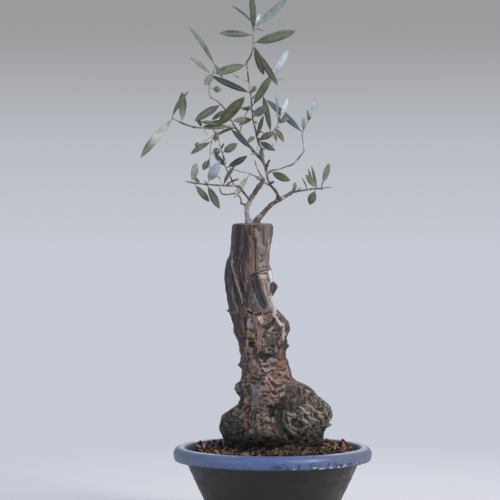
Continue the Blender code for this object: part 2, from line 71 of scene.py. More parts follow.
import bmesh
import bpy
import numpy as np
from mathutils import Vector
from mathutils.bvhtree import BVHTree

MM = 0.001                   # shapes are worked out in millimetres, and Blender takes metres
scene = bpy.context.scene
draw = np.random.default_rng(7)

# %% [markdown]
# ## The camera
#
# The tree is looked at from the front, with a level camera at the height of the saw cut.  It
# stands far back with a long lens, so upright things stay upright and the bowl's rim is a
# narrow ellipse.  It comes before the pieces, because it is the fixed point of view.

# %% Place the camera
EYE = (-0.0342, -2.73, 0.417)
VIEW_ANGLE = 15.8            # degrees across the picture

lens = bpy.data.cameras.new("camera")
lens.angle = math.radians(VIEW_ANGLE)
camera = bpy.data.objects.new("camera", lens)
camera.location = EYE
camera.rotation_euler = (math.pi / 2, 0, 0)
scene.collection.objects.link(camera)
scene.camera = camera
print("camera stands", round(-EYE[1], 2), "m in front of the trunk")

# %% [markdown]
# ## Helpers for shape
#
# Bark, soil and leaves are never smooth, so most pieces are pushed about by noise.  Blender's own
# noise takes one point at a time, which is slow on a trunk of 150,000 points.  The noise here
# takes a whole array at once: random values on a lattice, eased between the lattice's corners.

# %% Noise on arrays of points
LATTICE = np.array([73856093, 19349663, 83492791], dtype=np.int64)


def lengths(rows):
    """The length of each row of x, y, z."""
    return np.linalg.norm(rows, axis=-1)


def scatter(corners, seed):
    """A fixed random value from -1 to 1 for each whole-numbered corner."""
    key = (corners * LATTICE).sum(axis=-1) + seed * 49979687
    key = (key ^ (key >> 13)) * 1274126177
    key = (key ^ (key >> 16)) & 0x7FFFFFFF
    return key / 0x3FFFFFFF - 1.0


def noise(points, size, seed=0):
    """Smooth noise from -1 to 1 whose lumps are about one size across, in the points' unit."""
    spots = np.asarray(points) / size
    cell = np.floor(spots).astype(np.int64)
    share = spots - cell
    share = share * share * (3 - 2 * share)
    total = 0.0
    for step in np.ndindex(2, 2, 2):
        step = np.array(step)
        weight = np.where(step == 1, share, 1 - share).prod(axis=-1)
        total = total + weight * scatter(cell + step, seed)
    return total


def rough(points, size, seed=0, layers=3):
    """Noise with finer noise on it, each layer half as big and half as strong."""
    return sum(noise(points, size / 2 ** k, seed + k) / 2 ** k for k in range(layers))


# %% Lumps and slopes
def cobbles(points, size, seed=0):
    """Round lumps packed side by side: 1 on a lump's crown, falling below 0 between lumps."""
    spots = np.asarray(points) / size
    cell = np.floor(spots).astype(np.int64)
    nearest = np.full(spots.shape[:-1], 9.0)
    for step in np.ndindex(3, 3, 3):
        corner = cell + np.array(step) - 1
        shift = np.stack([scatter(corner, seed + k) for k in range(3)], axis=-1)
        away = lengths(spots - corner - 0.5 - 0.42 * shift)
        nearest = np.minimum(nearest, away)
    return 1 - (nearest / 0.62) ** 2


def ease(values, start, end):
    """0 before start and 1 after end, with a soft slope between them."""
    share = np.clip((np.asarray(values) - start) / (end - start), 0, 1)
    return share * share * (3 - 2 * share)


print("noise on two points", noise(np.array([[0.2, 0.4, 0.9], [5.5, 2.5, 1.1]]), 1).round(2))

# %% [markdown]
# A curve through a few points is needed for the bowl's section, the stems and the leaves' middle
# lines.  Straight runs between points look like bent wire, so a Catmull-Rom curve passes
# smoothly through every point, and it is then cut into even steps.

# %% Curves
def smooth_route(points, step):
    """Rows of values on a smooth curve through the given rows, a step apart by their x, y, z."""
    points = np.asarray(points, float)
    padded = np.vstack([2 * points[0] - points[1], points, 2 * points[-1] - points[-2]])
    share = np.linspace(0, 1, 12, endpoint=False)[:, None]
    fine = []
    for a, b, c, d in zip(padded, padded[1:], padded[2:], padded[3:]):
        fine.append(0.5 * (2 * b + (c - a) * share + (2 * a - 5 * b + 4 * c - d) * share ** 2
                           + (3 * b - a - 3 * c + d) * share ** 3))
    fine = np.vstack(fine + [points[-1:]])
    along = distance_along(fine)
    places = np.linspace(0, along[-1], max(2, round(along[-1] / step) + 1))
    return np.stack([np.interp(places, along, column) for column in fine.T], axis=1)


def distance_along(rows):
    """How far each row of a line lies from its first row, by their x, y, z."""
    return np.r_[0, lengths(np.diff(rows[:, :3], axis=0)).cumsum()]


def full_turn(count):
    """Angles of equal steps once round."""
    return np.arange(count) * math.tau / count


# %% Faces between rings of points
def grid_faces(rows, columns, closed=True):
    """Four-cornered faces between rows of points.  Closed rows join their end to their start."""
    row, column = np.mgrid[:rows - 1, :columns if closed else columns - 1]
    after = (column + 1) % columns
    corners = [row * columns + column, row * columns + after,
               (row + 1) * columns + after, (row + 1) * columns + column]
    return np.stack(corners, axis=-1).reshape(-1, 4).tolist()


def tube_faces(rows, sides):
    """Faces of a tube closed at both ends."""
    ends = [list(range(sides))[::-1], list(range((rows - 1) * sides, rows * sides))]
    return grid_faces(rows, sides) + ends


# %% [markdown]
# Colours are written as sRGB hex values, as in any paint program, and one function turns them to
# the linear light that Blender works with.  Colour that follows the shape is kept on the points.

# %% Colours on points
def linear(hex_colour):
    """An sRGB hex colour as the linear red, green, blue and alpha that Blender works with."""
    parts = [int(hex_colour[k:k + 2], 16) / 255 for k in (1, 3, 5)]
    return tuple((p / 12.92 if p <= 0.04045 else ((p + 0.055) / 1.055) ** 2.4) for p in parts) + (1,)


def painted(hex_colour, shape):
    """One colour on an array of points."""
    return np.zeros((*shape, 4)) + np.array(linear(hex_colour))


def tint(colours, *steps):
    """Moves colours towards one colour after another, by a share at each point."""
    for hex_colour, share in steps:
        share = np.asarray(share)[..., None]
        colours = colours * (1 - share) + np.array(linear(hex_colour)) * share
    return colours


# %% Make a piece
def add_piece(name, points, materials, slot, stands_for=(), faces=None, second=None, **fields):
    """Makes a smooth-shaded piece from points in millimetres and fixes it to the frame.

    Without faces, the points are a grid of rings that is closed at both ends.  fields are named
    numbers or colours on the points.  second says which faces take the second material.
    """
    points = np.asarray(points)
    mesh = bpy.data.meshes.new(name)
    mesh.from_pydata((points.reshape(-1, 3) * MM).tolist(), [], faces or tube_faces(*points.shape[:2]))
    shape = bmesh.new()
    shape.from_mesh(mesh)
    if shape.calc_volume(signed=True) < 0:       # its faces look inwards
        mesh.flip_normals()
    shape.free()
    mesh.shade_smooth()
    for material in materials:
        mesh.materials.append(material)
    if second is not None:
        mesh.polygons.foreach_set("material_index", np.asarray(second, np.int32))
    for label, values in fields.items():
        values = np.asarray(values, np.float32)
        kind, key = ("FLOAT_COLOR", "color") if values.ndim == points.ndim else ("FLOAT", "value")
        mesh.attributes.new(label, kind, "POINT").data.foreach_set(key, values.ravel())
    piece = bpy.data.objects.new(name, mesh)
    scene.collection.objects.link(piece)
    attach(piece, "root")
    if stands_for:
        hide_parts(*stands_for)
    return piece


def add_joined(name, parts, materials, slot, label):
    """Makes one piece of many parts, each its points, its faces and the colours of its points."""
    faces, total = [], 0
    for points, own_faces, _ in parts:
        faces += [[corner + total for corner in face] for face in own_faces]
        total += len(points)
    points, colours = (np.vstack([part[k] for part in parts]) for k in (0, 2))
    add_piece(name, points, materials, slot, faces=faces, **{label: colours})
    print(name, len(parts), "parts,", len(faces), "faces")


# %% [markdown]
# The frame's own meshes give every place and size.  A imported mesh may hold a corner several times,
# once for each face, so corners that round to the same hundredth of a millimetre are joined
# before the shape is read.

# %% Read a piece of the frame
def read_node(node):
    """A frame piece's joined corners in millimetres, and the pairs of them that share an edge."""
    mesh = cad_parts[node].data
    places = np.zeros(len(mesh.vertices) * 3)
    mesh.vertices.foreach_get("co", places)
    places = places.reshape(-1, 3) / MM
    _, keep, joined = np.unique(places.round(2), axis=0, return_index=True, return_inverse=True)
    joined = joined.ravel()
    ends = np.zeros(len(mesh.edges) * 2, np.int64)
    mesh.edges.foreach_get("vertices", ends)
    edges = joined[ends.reshape(-1, 2)]
    return places[keep], edges[edges[:, 0] != edges[:, 1]]


def surface_of(node):
    """A frame piece as a tree that rays can be shot at, in metres."""
    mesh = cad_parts[node].data
    corners = [vertex.co.copy() for vertex in mesh.vertices]
    return BVHTree.FromPolygons(corners, [tuple(face.vertices) for face in mesh.polygons])


print("the bowl's frame has", len(read_node("pot")[0]), "corners")

# %% [markdown]
# ## Helpers for materials
#
# A material is a small graph of nodes.  One function adds a node, sets what it is told, and links
# the sockets that are given another node.  A Map Range node takes a value, the range that it
# comes in and the range that it is spread over.  Patterns are sized from real millimetres: a
# noise of scale 1000 / size has lumps of that many millimetres.

# %% Add a node
def plug(node, sockets):
    """Gives each socket a value, or links it to an output or to a node's first output in use.

    Sockets are named or numbered, or their values are given in order.
    """
    if isinstance(sockets, tuple):
        sockets = dict(enumerate(sockets))
    for key, value in sockets.items():
        if isinstance(value, bpy.types.Node):
            value = next(output for output in value.outputs if output.enabled)
        if isinstance(value, bpy.types.NodeSocket):
            node.id_data.links.new(value, node.inputs[key])
        else:
            node.inputs[key].default_value = value


def add(tree, kind, sockets=None, **settings):
    """Adds a node with its settings, and fills its sockets."""
    node = tree.nodes.new("ShaderNode" + kind)
    for name, value in settings.items():
        setattr(node, name, value)
    plug(node, sockets or {})
    return node


def start_material(name, roughness, ior):
    """A new material, its node tree, its shader and the place of each point as an output."""
    material = bpy.data.materials.new(name)
    material.use_nodes = True
    tree = material.node_tree
    tree.nodes.clear()
    shader = add(tree, "BsdfPrincipled", {"Roughness": roughness, "IOR": ior})
    add(tree, "OutputMaterial", {"Surface": shader})
    return material, tree, shader, add(tree, "TexCoord").outputs["Object"]


def shaded_tone(tree, field, shade):
    """The points' own colour, made lighter and darker by a pattern."""
    tone = add(tree, "Attribute", attribute_name=field)
    return add(tree, "Mix", {0: 1.0, 6: tone, 7: shade}, data_type="RGBA", blend_type="MULTIPLY")


def per_mm(size):
    """The scale of a pattern whose lumps are this many millimetres across."""
    return 1000 / size


# %% [markdown]
# ## The bowl
#
# Bonsai growers use cheap round bowls of polypropylene, injection moulded in one shot.  The wall
# flares up to a rolled lip with a skirt, which stiffens it and gives the hands a hold.  A turned
# shape is quickest as a section that is spun round the axis.  The section is read from the frame,
# smoothed, and given the faint rings that the mould leaves.  The drain holes are cut last.

# %% Read and spin the bowl's section
BOWL_SIDES = 256
SECTION_STEP = 1.7           # mm along the section
MOULD_RINGS = (40, 58, 71.5, 83.5)   # heights of the faint ribs, mm


def turned_section(node, inside_of):
    """Radius and height along the outline of a turned piece, beyond a radius, from its foot."""
    corners, edges = read_node(node)
    chosen = (np.abs(corners[:, 1]) < 0.02) & (corners[:, 0] > inside_of)
    links = {index: set() for index in np.flatnonzero(chosen)}
    for a, b in edges:
        if chosen[a] and chosen[b]:
            links[a].add(b)
            links[b].add(a)
    here = min((index for index in links if len(links[index]) == 1),
               key=lambda index: corners[index, 2])
    path = [here]
    while True:
        onward = [index for index in links[here] if index not in path]
        if not onward:
            return corners[path][:, (0, 2)]
        here = min(onward, key=lambda index: np.linalg.norm(corners[index] - corners[here]))
        path.append(here)


section = turned_section("pot", 60)
section_line = smooth_route(np.c_[section[:, 0], np.zeros(len(section)), section[:, 1]], SECTION_STEP)
print("bowl section", len(section), "corners, refined to", len(section_line))

bearings = full_turn(BOWL_SIDES)
around = np.stack([np.cos(bearings), np.sin(bearings)], axis=1)
bowl_radius = np.repeat(section_line[:, :1], BOWL_SIDES, axis=1)
bowl_height = np.repeat(section_line[:, 2:], BOWL_SIDES, axis=1)
outside = np.arange(len(section_line)) < np.argmax(section_line[:, 2])
# painted shadow: a dark band just under each mould ring
rib_shade = sum(np.exp(-((bowl_height - height + 1.2) / 0.8) ** 2) for height in MOULD_RINGS)
ribs = sum(np.exp(-((bowl_height - height) / 1.1) ** 2) for height in MOULD_RINGS)
bowl_radius = bowl_radius + 0.6 * ribs * outside[:, None]
lip = ease(bowl_height, 96, 108)
bowl_radius *= 1 + lip * 0.0016 * np.sin(2 * bearings + 0.7)
bowl = np.dstack([bowl_radius * around[:, 0], bowl_radius * around[:, 1], bowl_height])

# %% [markdown]
# A bowl that has stood on rough ground for years has a nicked lip.  The nicks are real dents in
# the mesh along the skirt's lower edge, most of them at the front right.  The same noise is kept
# as a value on the points, so that the colour can be scraped pale in the same places.

# %% Wear the lip
bowl_points = bowl.reshape(-1, 3)
chips_noise = rough(bowl_points, 7, seed=11)
skirt_edge = (ease(-bowl_points[:, 2], -107, -102) * ease(bowl_points[:, 2], 97, 100)
              * ease(lengths(bowl_points[:, :2]), 141, 144))
front_right = ease(-bowl_points[:, 1], 20, 90) * ease(bowl_points[:, 0], -35, 25)
scrape = skirt_edge * (0.25 + front_right) * ease(chips_noise, 0.15, 0.6)
scuff_band = ease(bowl_points[:, 2], 99, 102) * ease(-bowl_points[:, 2], -114, -106)
scuff = scuff_band * (0.2 + 0.8 * front_right) * ease(rough(bowl_points, 4, seed=17), 0.1, 0.45)
axis_out = bowl_points * (1, 1, 0) / lengths(bowl_points[:, :2])[:, None]
bowl_points = bowl_points - axis_out * 0.7 * scrape[:, None]
bowl_points[:, 2] += 0.15 * rough(bowl_points, 40, seed=3) * lip.ravel()

# %% [markdown]
# ** Polypropylene, injection moulded and weathered.** New, it is an even satin plastic. The lip is
# given a painted reflection of the sky, slate blue at the front and grey at the sides, and rain
# leaves a film of dust that greys it in patches.  Its inner slope gets painted shade, the wall below
# is dark grey with a painted shadow under each mould ring, and dirt sits in small specks.  The film
# is rougher than the plastic, so the shine comes and goes along the lip.

# %% Weathered polypropylene
# The lip's blue and grey are a painted reflection of the sky, blue at the front and grey at the sides, and
# the grey also stands for a film of dust.
LIP_SKY_REFLECTION_BLUE = "#4A6295"
LIP_REFLECTION_AND_DUST_GREY = "#626D84"
# painted shade on the lip's inner slope
LIP_SHADE = "#3C4353"        # the lip's inner slope, which sees less sun
WALL_GREY = "#221F18"
RIB_SHADOW_DARK = "#171716"
DIRT = "#23262E"
SCUFFED = "#2A3140"
SCRAPED = "#B4BCC9"


def weathered_polypropylene():
    material, tree, shader, place = start_material("weathered_polypropylene", 0.42, 1.49)
    parts = add(tree, "SeparateXYZ", {0: place})
    lip_share = add(tree, "MapRange", (parts.outputs["Z"], 0.098, 0.103))
    film = add(tree, "TexNoise", {"Vector": place, "Scale": per_mm(16), "Detail": 5})
    # painted sky reflection on the lip: blue towards the front, grey towards the sides and in the film
    front = add(tree, "MapRange", (parts.outputs["Y"], -0.142, -0.07, -0.3, 0.5))
    grey_reflection_and_dust = add(tree, "Math", (front, film), operation="ADD", use_clamp=True)
    blue = add(tree, "Mix", {0: grey_reflection_and_dust, 6: linear(LIP_SKY_REFLECTION_BLUE), 7: linear(LIP_REFLECTION_AND_DUST_GREY)}, data_type="RGBA")
    flat_way = add(tree, "VectorMath", (place, (1, 1, 0)), operation="MULTIPLY")
    reach = add(tree, "VectorMath", {0: flat_way}, operation="LENGTH")
    # painted shade inside the lip
    inner_slope_painted_shade = add(tree, "MapRange", (reach, 0.129, 0.136, 0.75, 0.0))
    shaded = add(tree, "Mix", {0: inner_slope_painted_shade, 6: blue, 7: linear(LIP_SHADE)}, data_type="RGBA")
    # painted shadow under each mould ring, carried by the groove value
    groove = add(tree, "Attribute", attribute_name="groove")
    wall = add(tree, "Mix", {0: groove.outputs["Fac"], 6: linear(WALL_GREY), 7: linear(RIB_SHADOW_DARK)},
               data_type="RGBA")
    body = add(tree, "Mix", {0: lip_share, 6: wall, 7: shaded}, data_type="RGBA")
    specks = add(tree, "TexNoise", {"Vector": place, "Scale": per_mm(2.6), "Detail": 2})
    dirt = add(tree, "MapRange", (specks, 0.66, 0.72, 0, 0.75))
    dirty = add(tree, "Mix", {0: dirt, 6: body, 7: linear(DIRT)}, data_type="RGBA")
    rubbed = add(tree, "Attribute", attribute_name="scuff")
    dark = add(tree, "Mix", {0: rubbed.outputs["Fac"], 6: dirty, 7: linear(SCUFFED)}, data_type="RGBA")
    worn = add(tree, "Attribute", attribute_name="scrape")
    pale = add(tree, "MapRange", (worn.outputs["Fac"], 0.45, 0.9))
    final = add(tree, "Mix", {0: pale, 6: dark, 7: linear(SCRAPED)}, data_type="RGBA")
    dull = add(tree, "MapRange", (film, 0.35, 0.7, 0.34, 0.56))
    grain = add(tree, "TexNoise", {"Vector": place, "Scale": per_mm(0.9), "Detail": 3})
    bump = add(tree, "Bump", {"Height": grain, "Strength": 0.12, "Distance": 0.0004})
    plug(shader, {"Base Color": final, "Roughness": dull, "Normal": bump})
    return material

# %% Build the bowl and drill its drains
DRAIN_COUNT = 5
DRAIN_RADIUS = 6.0
DRAIN_CIRCLE = 48.0

pot = add_piece("bowl", bowl_points.reshape(bowl.shape), [weathered_polypropylene()], "bowl_plastic",
                ["pot"], scrape=scrape, scuff=scuff, groove=rib_shade * outside[:, None])
bpy.ops.mesh.primitive_cylinder_add(vertices=32, radius=DRAIN_RADIUS * MM, depth=0.03)
drill = bpy.context.object
for k in range(DRAIN_COUNT):
    bearing = k * math.tau / DRAIN_COUNT
    drill.location = (math.cos(bearing) * DRAIN_CIRCLE * MM, math.sin(bearing) * DRAIN_CIRCLE * MM, 0)
    cut = pot.modifiers.new("drain", "BOOLEAN")
    cut.operation = "DIFFERENCE"
    cut.solver = "EXACT"
    cut.object = drill
    bpy.context.view_layer.objects.active = pot
    bpy.ops.object.modifier_apply(modifier=cut.name)
bpy.data.objects.remove(drill)
print("bowl has", len(pot.data.polygons), "faces")

# %% [markdown]
# ## Soil and mulch
#
# The tree stands in dark compost under a loose mulch of shredded pine bark.  The compost is one
# closed body that fills the bowl, with a bumpy top.  Its height at each place is measured by a
# ray shot down at the frame.  The mulch is real loose pieces: flakes that lie about at all
# angles, and small crumbs between them.

# %% Shape the compost
SOIL_SIDES = 220
SOIL_ROWS = 74

soil_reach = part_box("soil")[1][0] / MM       # half the width of the frame's soil
soil_tree = surface_of("soil")
SOIL_LEVEL = 110.0           # where a ray misses the frame's soil, under the trunk
WALL_DIP = 6.0               # mulch settles and washes away from the wall by this much
WALL_GAP = 1.2               # between the compost and the bowl's inside
SOIL_HOLE = 0.33             # the grid begins at this share of the reach, inside the trunk
RAY_INSET = 0.995            # rays are shot a little inwards, so that none misses the rim


def soil_top(x, y):
    """Height of the frame's soil at one place, in millimetres."""
    hit = soil_tree.ray_cast(Vector((x * MM, y * MM, 0.2)), Vector((0, 0, -1)))[0]
    height = hit.z / MM if hit else SOIL_LEVEL
    return height - WALL_DIP * float(ease(math.hypot(x, y), soil_reach - 18, soil_reach - 5))


turns = full_turn(SOIL_SIDES)
soil_grid = np.array([[(reach * math.cos(t), reach * math.sin(t),
                        soil_top(reach * RAY_INSET * math.cos(t), reach * RAY_INSET * math.sin(t)))
                       for t in turns] for reach in soil_reach * np.linspace(SOIL_HOLE, 1.0, SOIL_ROWS)])
flat_places = soil_grid * (1, 1, 0)
soil_grid[..., 2] += 1.6 * rough(flat_places, 14, seed=21) + 0.9 * cobbles(flat_places, 4.5, 22)
bowl_wall = section_line[np.argmax(section_line[:, 2]):]
lower = []
for height in (92.0, 60.0, 30.0, 12.0):
    reach = np.interp(height, bowl_wall[::-1, 2], bowl_wall[::-1, 0]) - WALL_GAP
    lower.append([(reach * math.cos(t), reach * math.sin(t), height) for t in turns])
soil_grid = np.concatenate([soil_grid, lower])
print("compost reaches", round(float(soil_grid[..., 2].max()), 1), "mm high")

# %% [markdown]
# **Damp peat compost.**  It is nearly black where it is wet and dark brown where the top has
# dried.  It has no shine, only a few pale fibres.

# %% Peat compost
WET_PEAT, DRY_PEAT = "#140F0C", "#3A281E"


def damp_compost():
    material, tree, shader, place = start_material("damp_compost", 0.92, 1.4)
    clumps = add(tree, "TexNoise", {"Vector": place, "Scale": per_mm(7), "Detail": 6})
    wet = add(tree, "MapRange", (clumps, 0.38, 0.66))
    base = add(tree, "Mix", {0: wet, 6: linear(WET_PEAT), 7: linear(DRY_PEAT)}, data_type="RGBA")
    grit = add(tree, "TexNoise", {"Vector": place, "Scale": per_mm(1.6), "Detail": 5})
    bump = add(tree, "Bump", {"Height": grit, "Strength": 0.8, "Distance": 0.001})
    plug(shader, {"Base Color": base, "Normal": bump})
    return material


add_piece("compost", soil_grid, [damp_compost()], "mulch", ["soil"])

# %% [markdown]
# **Shredded pine bark.**  Each flake is dark grey-brown on its weathered side and fresh
# orange-brown where it broke.  Its grain runs along its length, so the bump is stretched that
# way.  Each flake gets its own tone, drawn at random from a few real ones.

# %% Pine bark mulch
MULCH_TONES = ("#7E5540", "#5F4438", "#46352E", "#8C6A56", "#332A26", "#75625B", "#57392C",
               "#2A2322", "#93827A", "#3A302D")


def shredded_bark():
    material, tree, shader, place = start_material("shredded_pine_bark", 0.85, 1.45)
    mottle = add(tree, "TexNoise", {"Vector": place, "Scale": per_mm(3.2), "Detail": 5})
    shade = add(tree, "MapRange", (mottle, 0.3, 0.7, 0.45, 1.25))
    base = shaded_tone(tree, "tone", shade)
    fibres = add(tree, "TexNoise", {"Vector": place, "Scale": per_mm(1.0), "Detail": 4})
    bump = add(tree, "Bump", {"Height": fibres, "Strength": 0.7, "Distance": 0.0008})
    plug(shader, {"Base Color": base, "Normal": bump})
    return material


# %% Shape one flake
FLAKE_ROWS = 5
FLAKE_COLUMNS = 4


def turn_matrix(yaw, pitch, roll):
    """The matrix that rolls, then pitches, then yaws a flake."""
    cy, sy, cp, sp, cr, sr = (f(a) for a in (yaw, pitch, roll) for f in (math.cos, math.sin))
    return np.array([[cy * cp, cy * sp * sr - sy * cr, cy * sp * cr + sy * sr],
                     [sy * cp, sy * sp * sr + cy * cr, sy * sp * cr - cy * sr],
                     [-sp, cp * sr, cp * cr]])


def flake(length, width, thickness):
    """A closed, curled, ragged flake, centred at the origin: its points and faces."""
    u, v = np.meshgrid(np.linspace(-1, 1, FLAKE_ROWS), np.linspace(-1, 1, FLAKE_COLUMNS),
                       indexing="ij")
    taper = 1 - 0.55 * np.abs(u) ** 2.5
    x = u * length / 2 + draw.normal(0, length * 0.035, u.shape)
    y = v * width / 2 * taper + draw.normal(0, width * 0.05, u.shape)
    curl = draw.normal(0, 0.16)
    z = curl * length * u ** 2 + draw.normal(0, 0.12) * width * v ** 2
    z = z + draw.normal(0, thickness * 0.18, u.shape)
    half = thickness / 2 * (1 - 0.5 * np.maximum(np.abs(u), np.abs(v)) ** 2)
    top = np.dstack([x, y, z + half]).reshape(-1, 3)
    under = np.dstack([x, y, z - half]).reshape(-1, 3)
    count = len(top)
    faces = grid_faces(FLAKE_ROWS, FLAKE_COLUMNS, closed=False)
    faces += [[index + count for index in face[::-1]] for face in faces]
    ring = (list(range(FLAKE_COLUMNS))
            + [(k + 1) * FLAKE_COLUMNS - 1 for k in range(1, FLAKE_ROWS)]
            + [(FLAKE_ROWS - 1) * FLAKE_COLUMNS + k for k in range(FLAKE_COLUMNS - 2, -1, -1)]
            + [k * FLAKE_COLUMNS for k in range(FLAKE_ROWS - 2, 0, -1)])
    faces += [[b, a, a + count, b + count] for a, b in zip(ring, ring[1:] + ring[:1])]
    return np.vstack([top, under]), faces


# %% Scatter the flakes and crumbs
HEAPS = ((-102, -12, 22), (94, -22, 24), (102, 25, 20), (-94, -42, 20), (30, -98, 36))   # x, y, width
FLAKE_SHARE = 0.35           # share of the drawn places that keep a flake outside the heaps
TRUNK_TEST = 118             # height at which a place is tested against the trunk, mm
FLAKE_LIFT = 1.2             # how high a flat flake lies above the frame's soil, mm

trunk_tree = surface_of("trunk")
bark_mulch = shredded_bark()


def in_trunk(x, y, height):
    """Whether a place lies inside the trunk: behind the face of it that is nearest."""
    place = Vector((x * MM, y * MM, height * MM))
    near, normal, _, _ = trunk_tree.find_nearest(place)
    return (place - near).dot(normal) < 0


def scatter_mulch(name, count, size_of, tall):
    """Lays many flakes on the compost and joins them in one piece."""
    parts = []
    room = soil_reach - 1.0
    while len(parts) < count:
        reach = soil_reach * math.sqrt(draw.uniform(0.16, 0.965))
        bearing = draw.uniform(0, math.tau)
        x, y = reach * math.cos(bearing), reach * math.sin(bearing)
        heap = sum(math.exp(-((x - a) ** 2 + (y - b) ** 2) / c ** 2) for a, b, c in HEAPS)
        length, width, thickness = size_of()
        if draw.uniform() > FLAKE_SHARE + heap or in_trunk(x, y, TRUNK_TEST):
            continue
        own, faces = flake(length, width, thickness)
        tilt = draw.normal(0, 0.35 + 0.35 * min(heap, 1) * tall)
        own = own @ turn_matrix(draw.uniform(0, math.tau), tilt, draw.normal(0, 0.4)).T
        lift = max(0.0, abs(math.sin(tilt)) * length * 0.28) + heap * draw.uniform(0, 2.5) * tall
        own = own + (x, y, soil_top(x, y) + FLAKE_LIFT + lift)
        out = lengths(own[:, :2]).max()
        if out > room:
            own = own - np.array([x, y, 0]) / reach * (out - room)
        tone = painted(MULCH_TONES[draw.integers(len(MULCH_TONES))], (len(own),))
        parts.append((own, faces, tone * (*draw.uniform(0.75, 1.2, 3), 1)))
    add_joined(name, parts, [bark_mulch], "mulch", "tone")


scatter_mulch("mulch_flakes", 620, lambda: (draw.uniform(7, 17), draw.uniform(3, 7.5),
                                            draw.uniform(0.9, 2.2)), 1)
scatter_mulch("mulch_crumbs", 1500, lambda: (draw.uniform(2, 5), draw.uniform(1.4, 3.4),
                                             draw.uniform(0.8, 1.8)), 0.4)

# %% [markdown]
# One white bead of perlite lies on the mulch at the right.  Perlite is volcanic glass puffed up
# by heat, and growers mix it into compost to keep it airy.  It is a small lumpy ball.

# %% A bead of perlite
PERLITE_PLACE = (94, 58)
PERLITE_RADIUS = 3.2
PERLITE_LIFT = 4.6           # it lies on the flakes, mm above the compost
PERLITE_GREY, PERLITE_WHITE = "#B9BCC2", "#F1F2F4"


def puffed_perlite():
    material, tree, shader, place = start_material("puffed_perlite", 0.8, 1.5)
    pits = add(tree, "TexNoise", {"Vector": place, "Scale": per_mm(1.2), "Detail": 3})
    base = add(tree, "Mix", {0: pits, 6: linear(PERLITE_GREY), 7: linear(PERLITE_WHITE)}, data_type="RGBA")
    plug(shader, {"Base Color": base})
    return material


latitude, longitude = np.mgrid[0.06:math.pi - 0.06:12j, 0:math.tau * 23 / 24:24j]
bead = np.dstack([np.sin(latitude) * np.cos(longitude), np.sin(latitude) * np.sin(longitude),
                  np.cos(latitude) * 0.8]) * PERLITE_RADIUS
bead *= 1 + 0.22 * noise(bead, 2.2, 5)[..., None]
bead += (*PERLITE_PLACE, soil_top(*PERLITE_PLACE) + PERLITE_LIFT)
add_piece("perlite_bead", bead, [puffed_perlite()], "mulch")
print("bead of perlite", round(2 * PERLITE_RADIUS, 1), "mm across")

# %% [markdown]
# ## The trunk
#
# The stump is decades older than the shoots.  Its upper half is weathered deadwood and stringy
# bark in long strands, its middle is cracked bark in plates, and its foot is a burl: a swelling
# covered in knobs where buds once slept.  A carved look needs real relief, so the trunk is a fine
# grid of points round the frame's own outline, pushed in and out along its radius.

# %% Read the trunk's rings from the frame
RING_CORNERS = 44            # corners in each level ring of the frame's trunk
TRUNK_COLUMNS = 296
ROW_STEP = 1.15              # mm between rows
BURIED = 98.0                # the mesh starts here, just under the soil
EDGE_ROUND = 5.0             # worn edge of the saw cut, mm
CUT_ROWS = 26

bearing = full_turn(TRUNK_COLUMNS)


def level_rings(node):
    """Heights, middles and radii by bearing of a stacked piece's level rings."""
    corners, _ = read_node(node)
    levels = np.round(corners[:, 2], 1)
    heights, middles, radii = [], [], []
    for level in np.unique(levels):
        ring = corners[levels == level]
        if len(ring) != RING_CORNERS:
            continue
        middle = (ring.min(axis=0) + ring.max(axis=0)) / 2
        arm = ring[:, :2] - middle[:2]
        angle = np.arctan2(arm[:, 1], arm[:, 0]) % math.tau
        order = np.argsort(angle)
        reach = lengths(arm)[order]
        heights.append(level)
        middles.append(middle[:2])
        radii.append(np.interp(bearing, angle[order], reach, period=math.tau))
    return np.array(heights), np.array(middles), np.array(radii)


# %% Refine and soften the rings
def through(knots, values, places):
    """Values between knots on smooth cubics, with the slope at each knot from its neighbours."""
    slopes = np.gradient(values, knots, axis=0)
    k = np.clip(np.searchsorted(knots, places) - 1, 0, len(knots) - 2)
    gap = (knots[k + 1] - knots[k])[:, None]
    t = np.clip((places - knots[k])[:, None] / gap, 0, 1)
    return ((2 * t ** 3 - 3 * t ** 2 + 1) * values[k] + (t ** 3 - 2 * t ** 2 + t) * gap * slopes[k]
            + (3 * t ** 2 - 2 * t ** 3) * values[k + 1] + (t ** 3 - t ** 2) * gap * slopes[k + 1])


def softened(field, passes):
    """A grid of values blurred round the trunk and along it."""
    for _ in range(passes):
        field = (np.roll(field, 1, axis=1) + 2 * field + np.roll(field, -1, axis=1)) / 4
        padded = np.vstack([field[:1], field, field[-1:]])
        field = (padded[:-2] + 2 * field + padded[2:]) / 4
    return field


knots, ring_middles, ring_radii = level_rings("trunk")
wall_rows = np.arange(BURIED, knots[-1], ROW_STEP)
middle = through(knots, ring_middles, wall_rows)
reach = softened(through(knots, ring_radii, wall_rows), 8)
print("trunk", len(knots), "rings in the frame,", len(wall_rows), "rows here")

# %% [markdown]
# The base surface is a set of three grids: x, y and z.  Noise is read at those places with the
# height squeezed, so that lumps come out as long strands, or with the height stretched, so that
# they come out as flat wrinkles.  Three kinds of relief are blended by height.

# %% Three kinds of relief
ring_x = middle[:, :1] + reach * np.cos(bearing)
ring_y = middle[:, 1:] + reach * np.sin(bearing)
ring_z = np.repeat(wall_rows[:, None], TRUNK_COLUMNS, axis=1)
bark_points = np.dstack([ring_x, ring_y, ring_z])
wander = noise(bark_points, 30, 41)
strand_share = ease(ring_z + 12 * wander, 292, 345)
column = ease(-np.abs(ring_x + 20), -30, -18) * ease(-ring_y, 0, 20)   # runs on down the front
burl_share = 1 - ease(ring_z + 10 * wander - 0.16 * np.maximum(ring_x, 0) + 24 * column, 196, 222)
plate_share = (1 - strand_share) * (1 - burl_share)


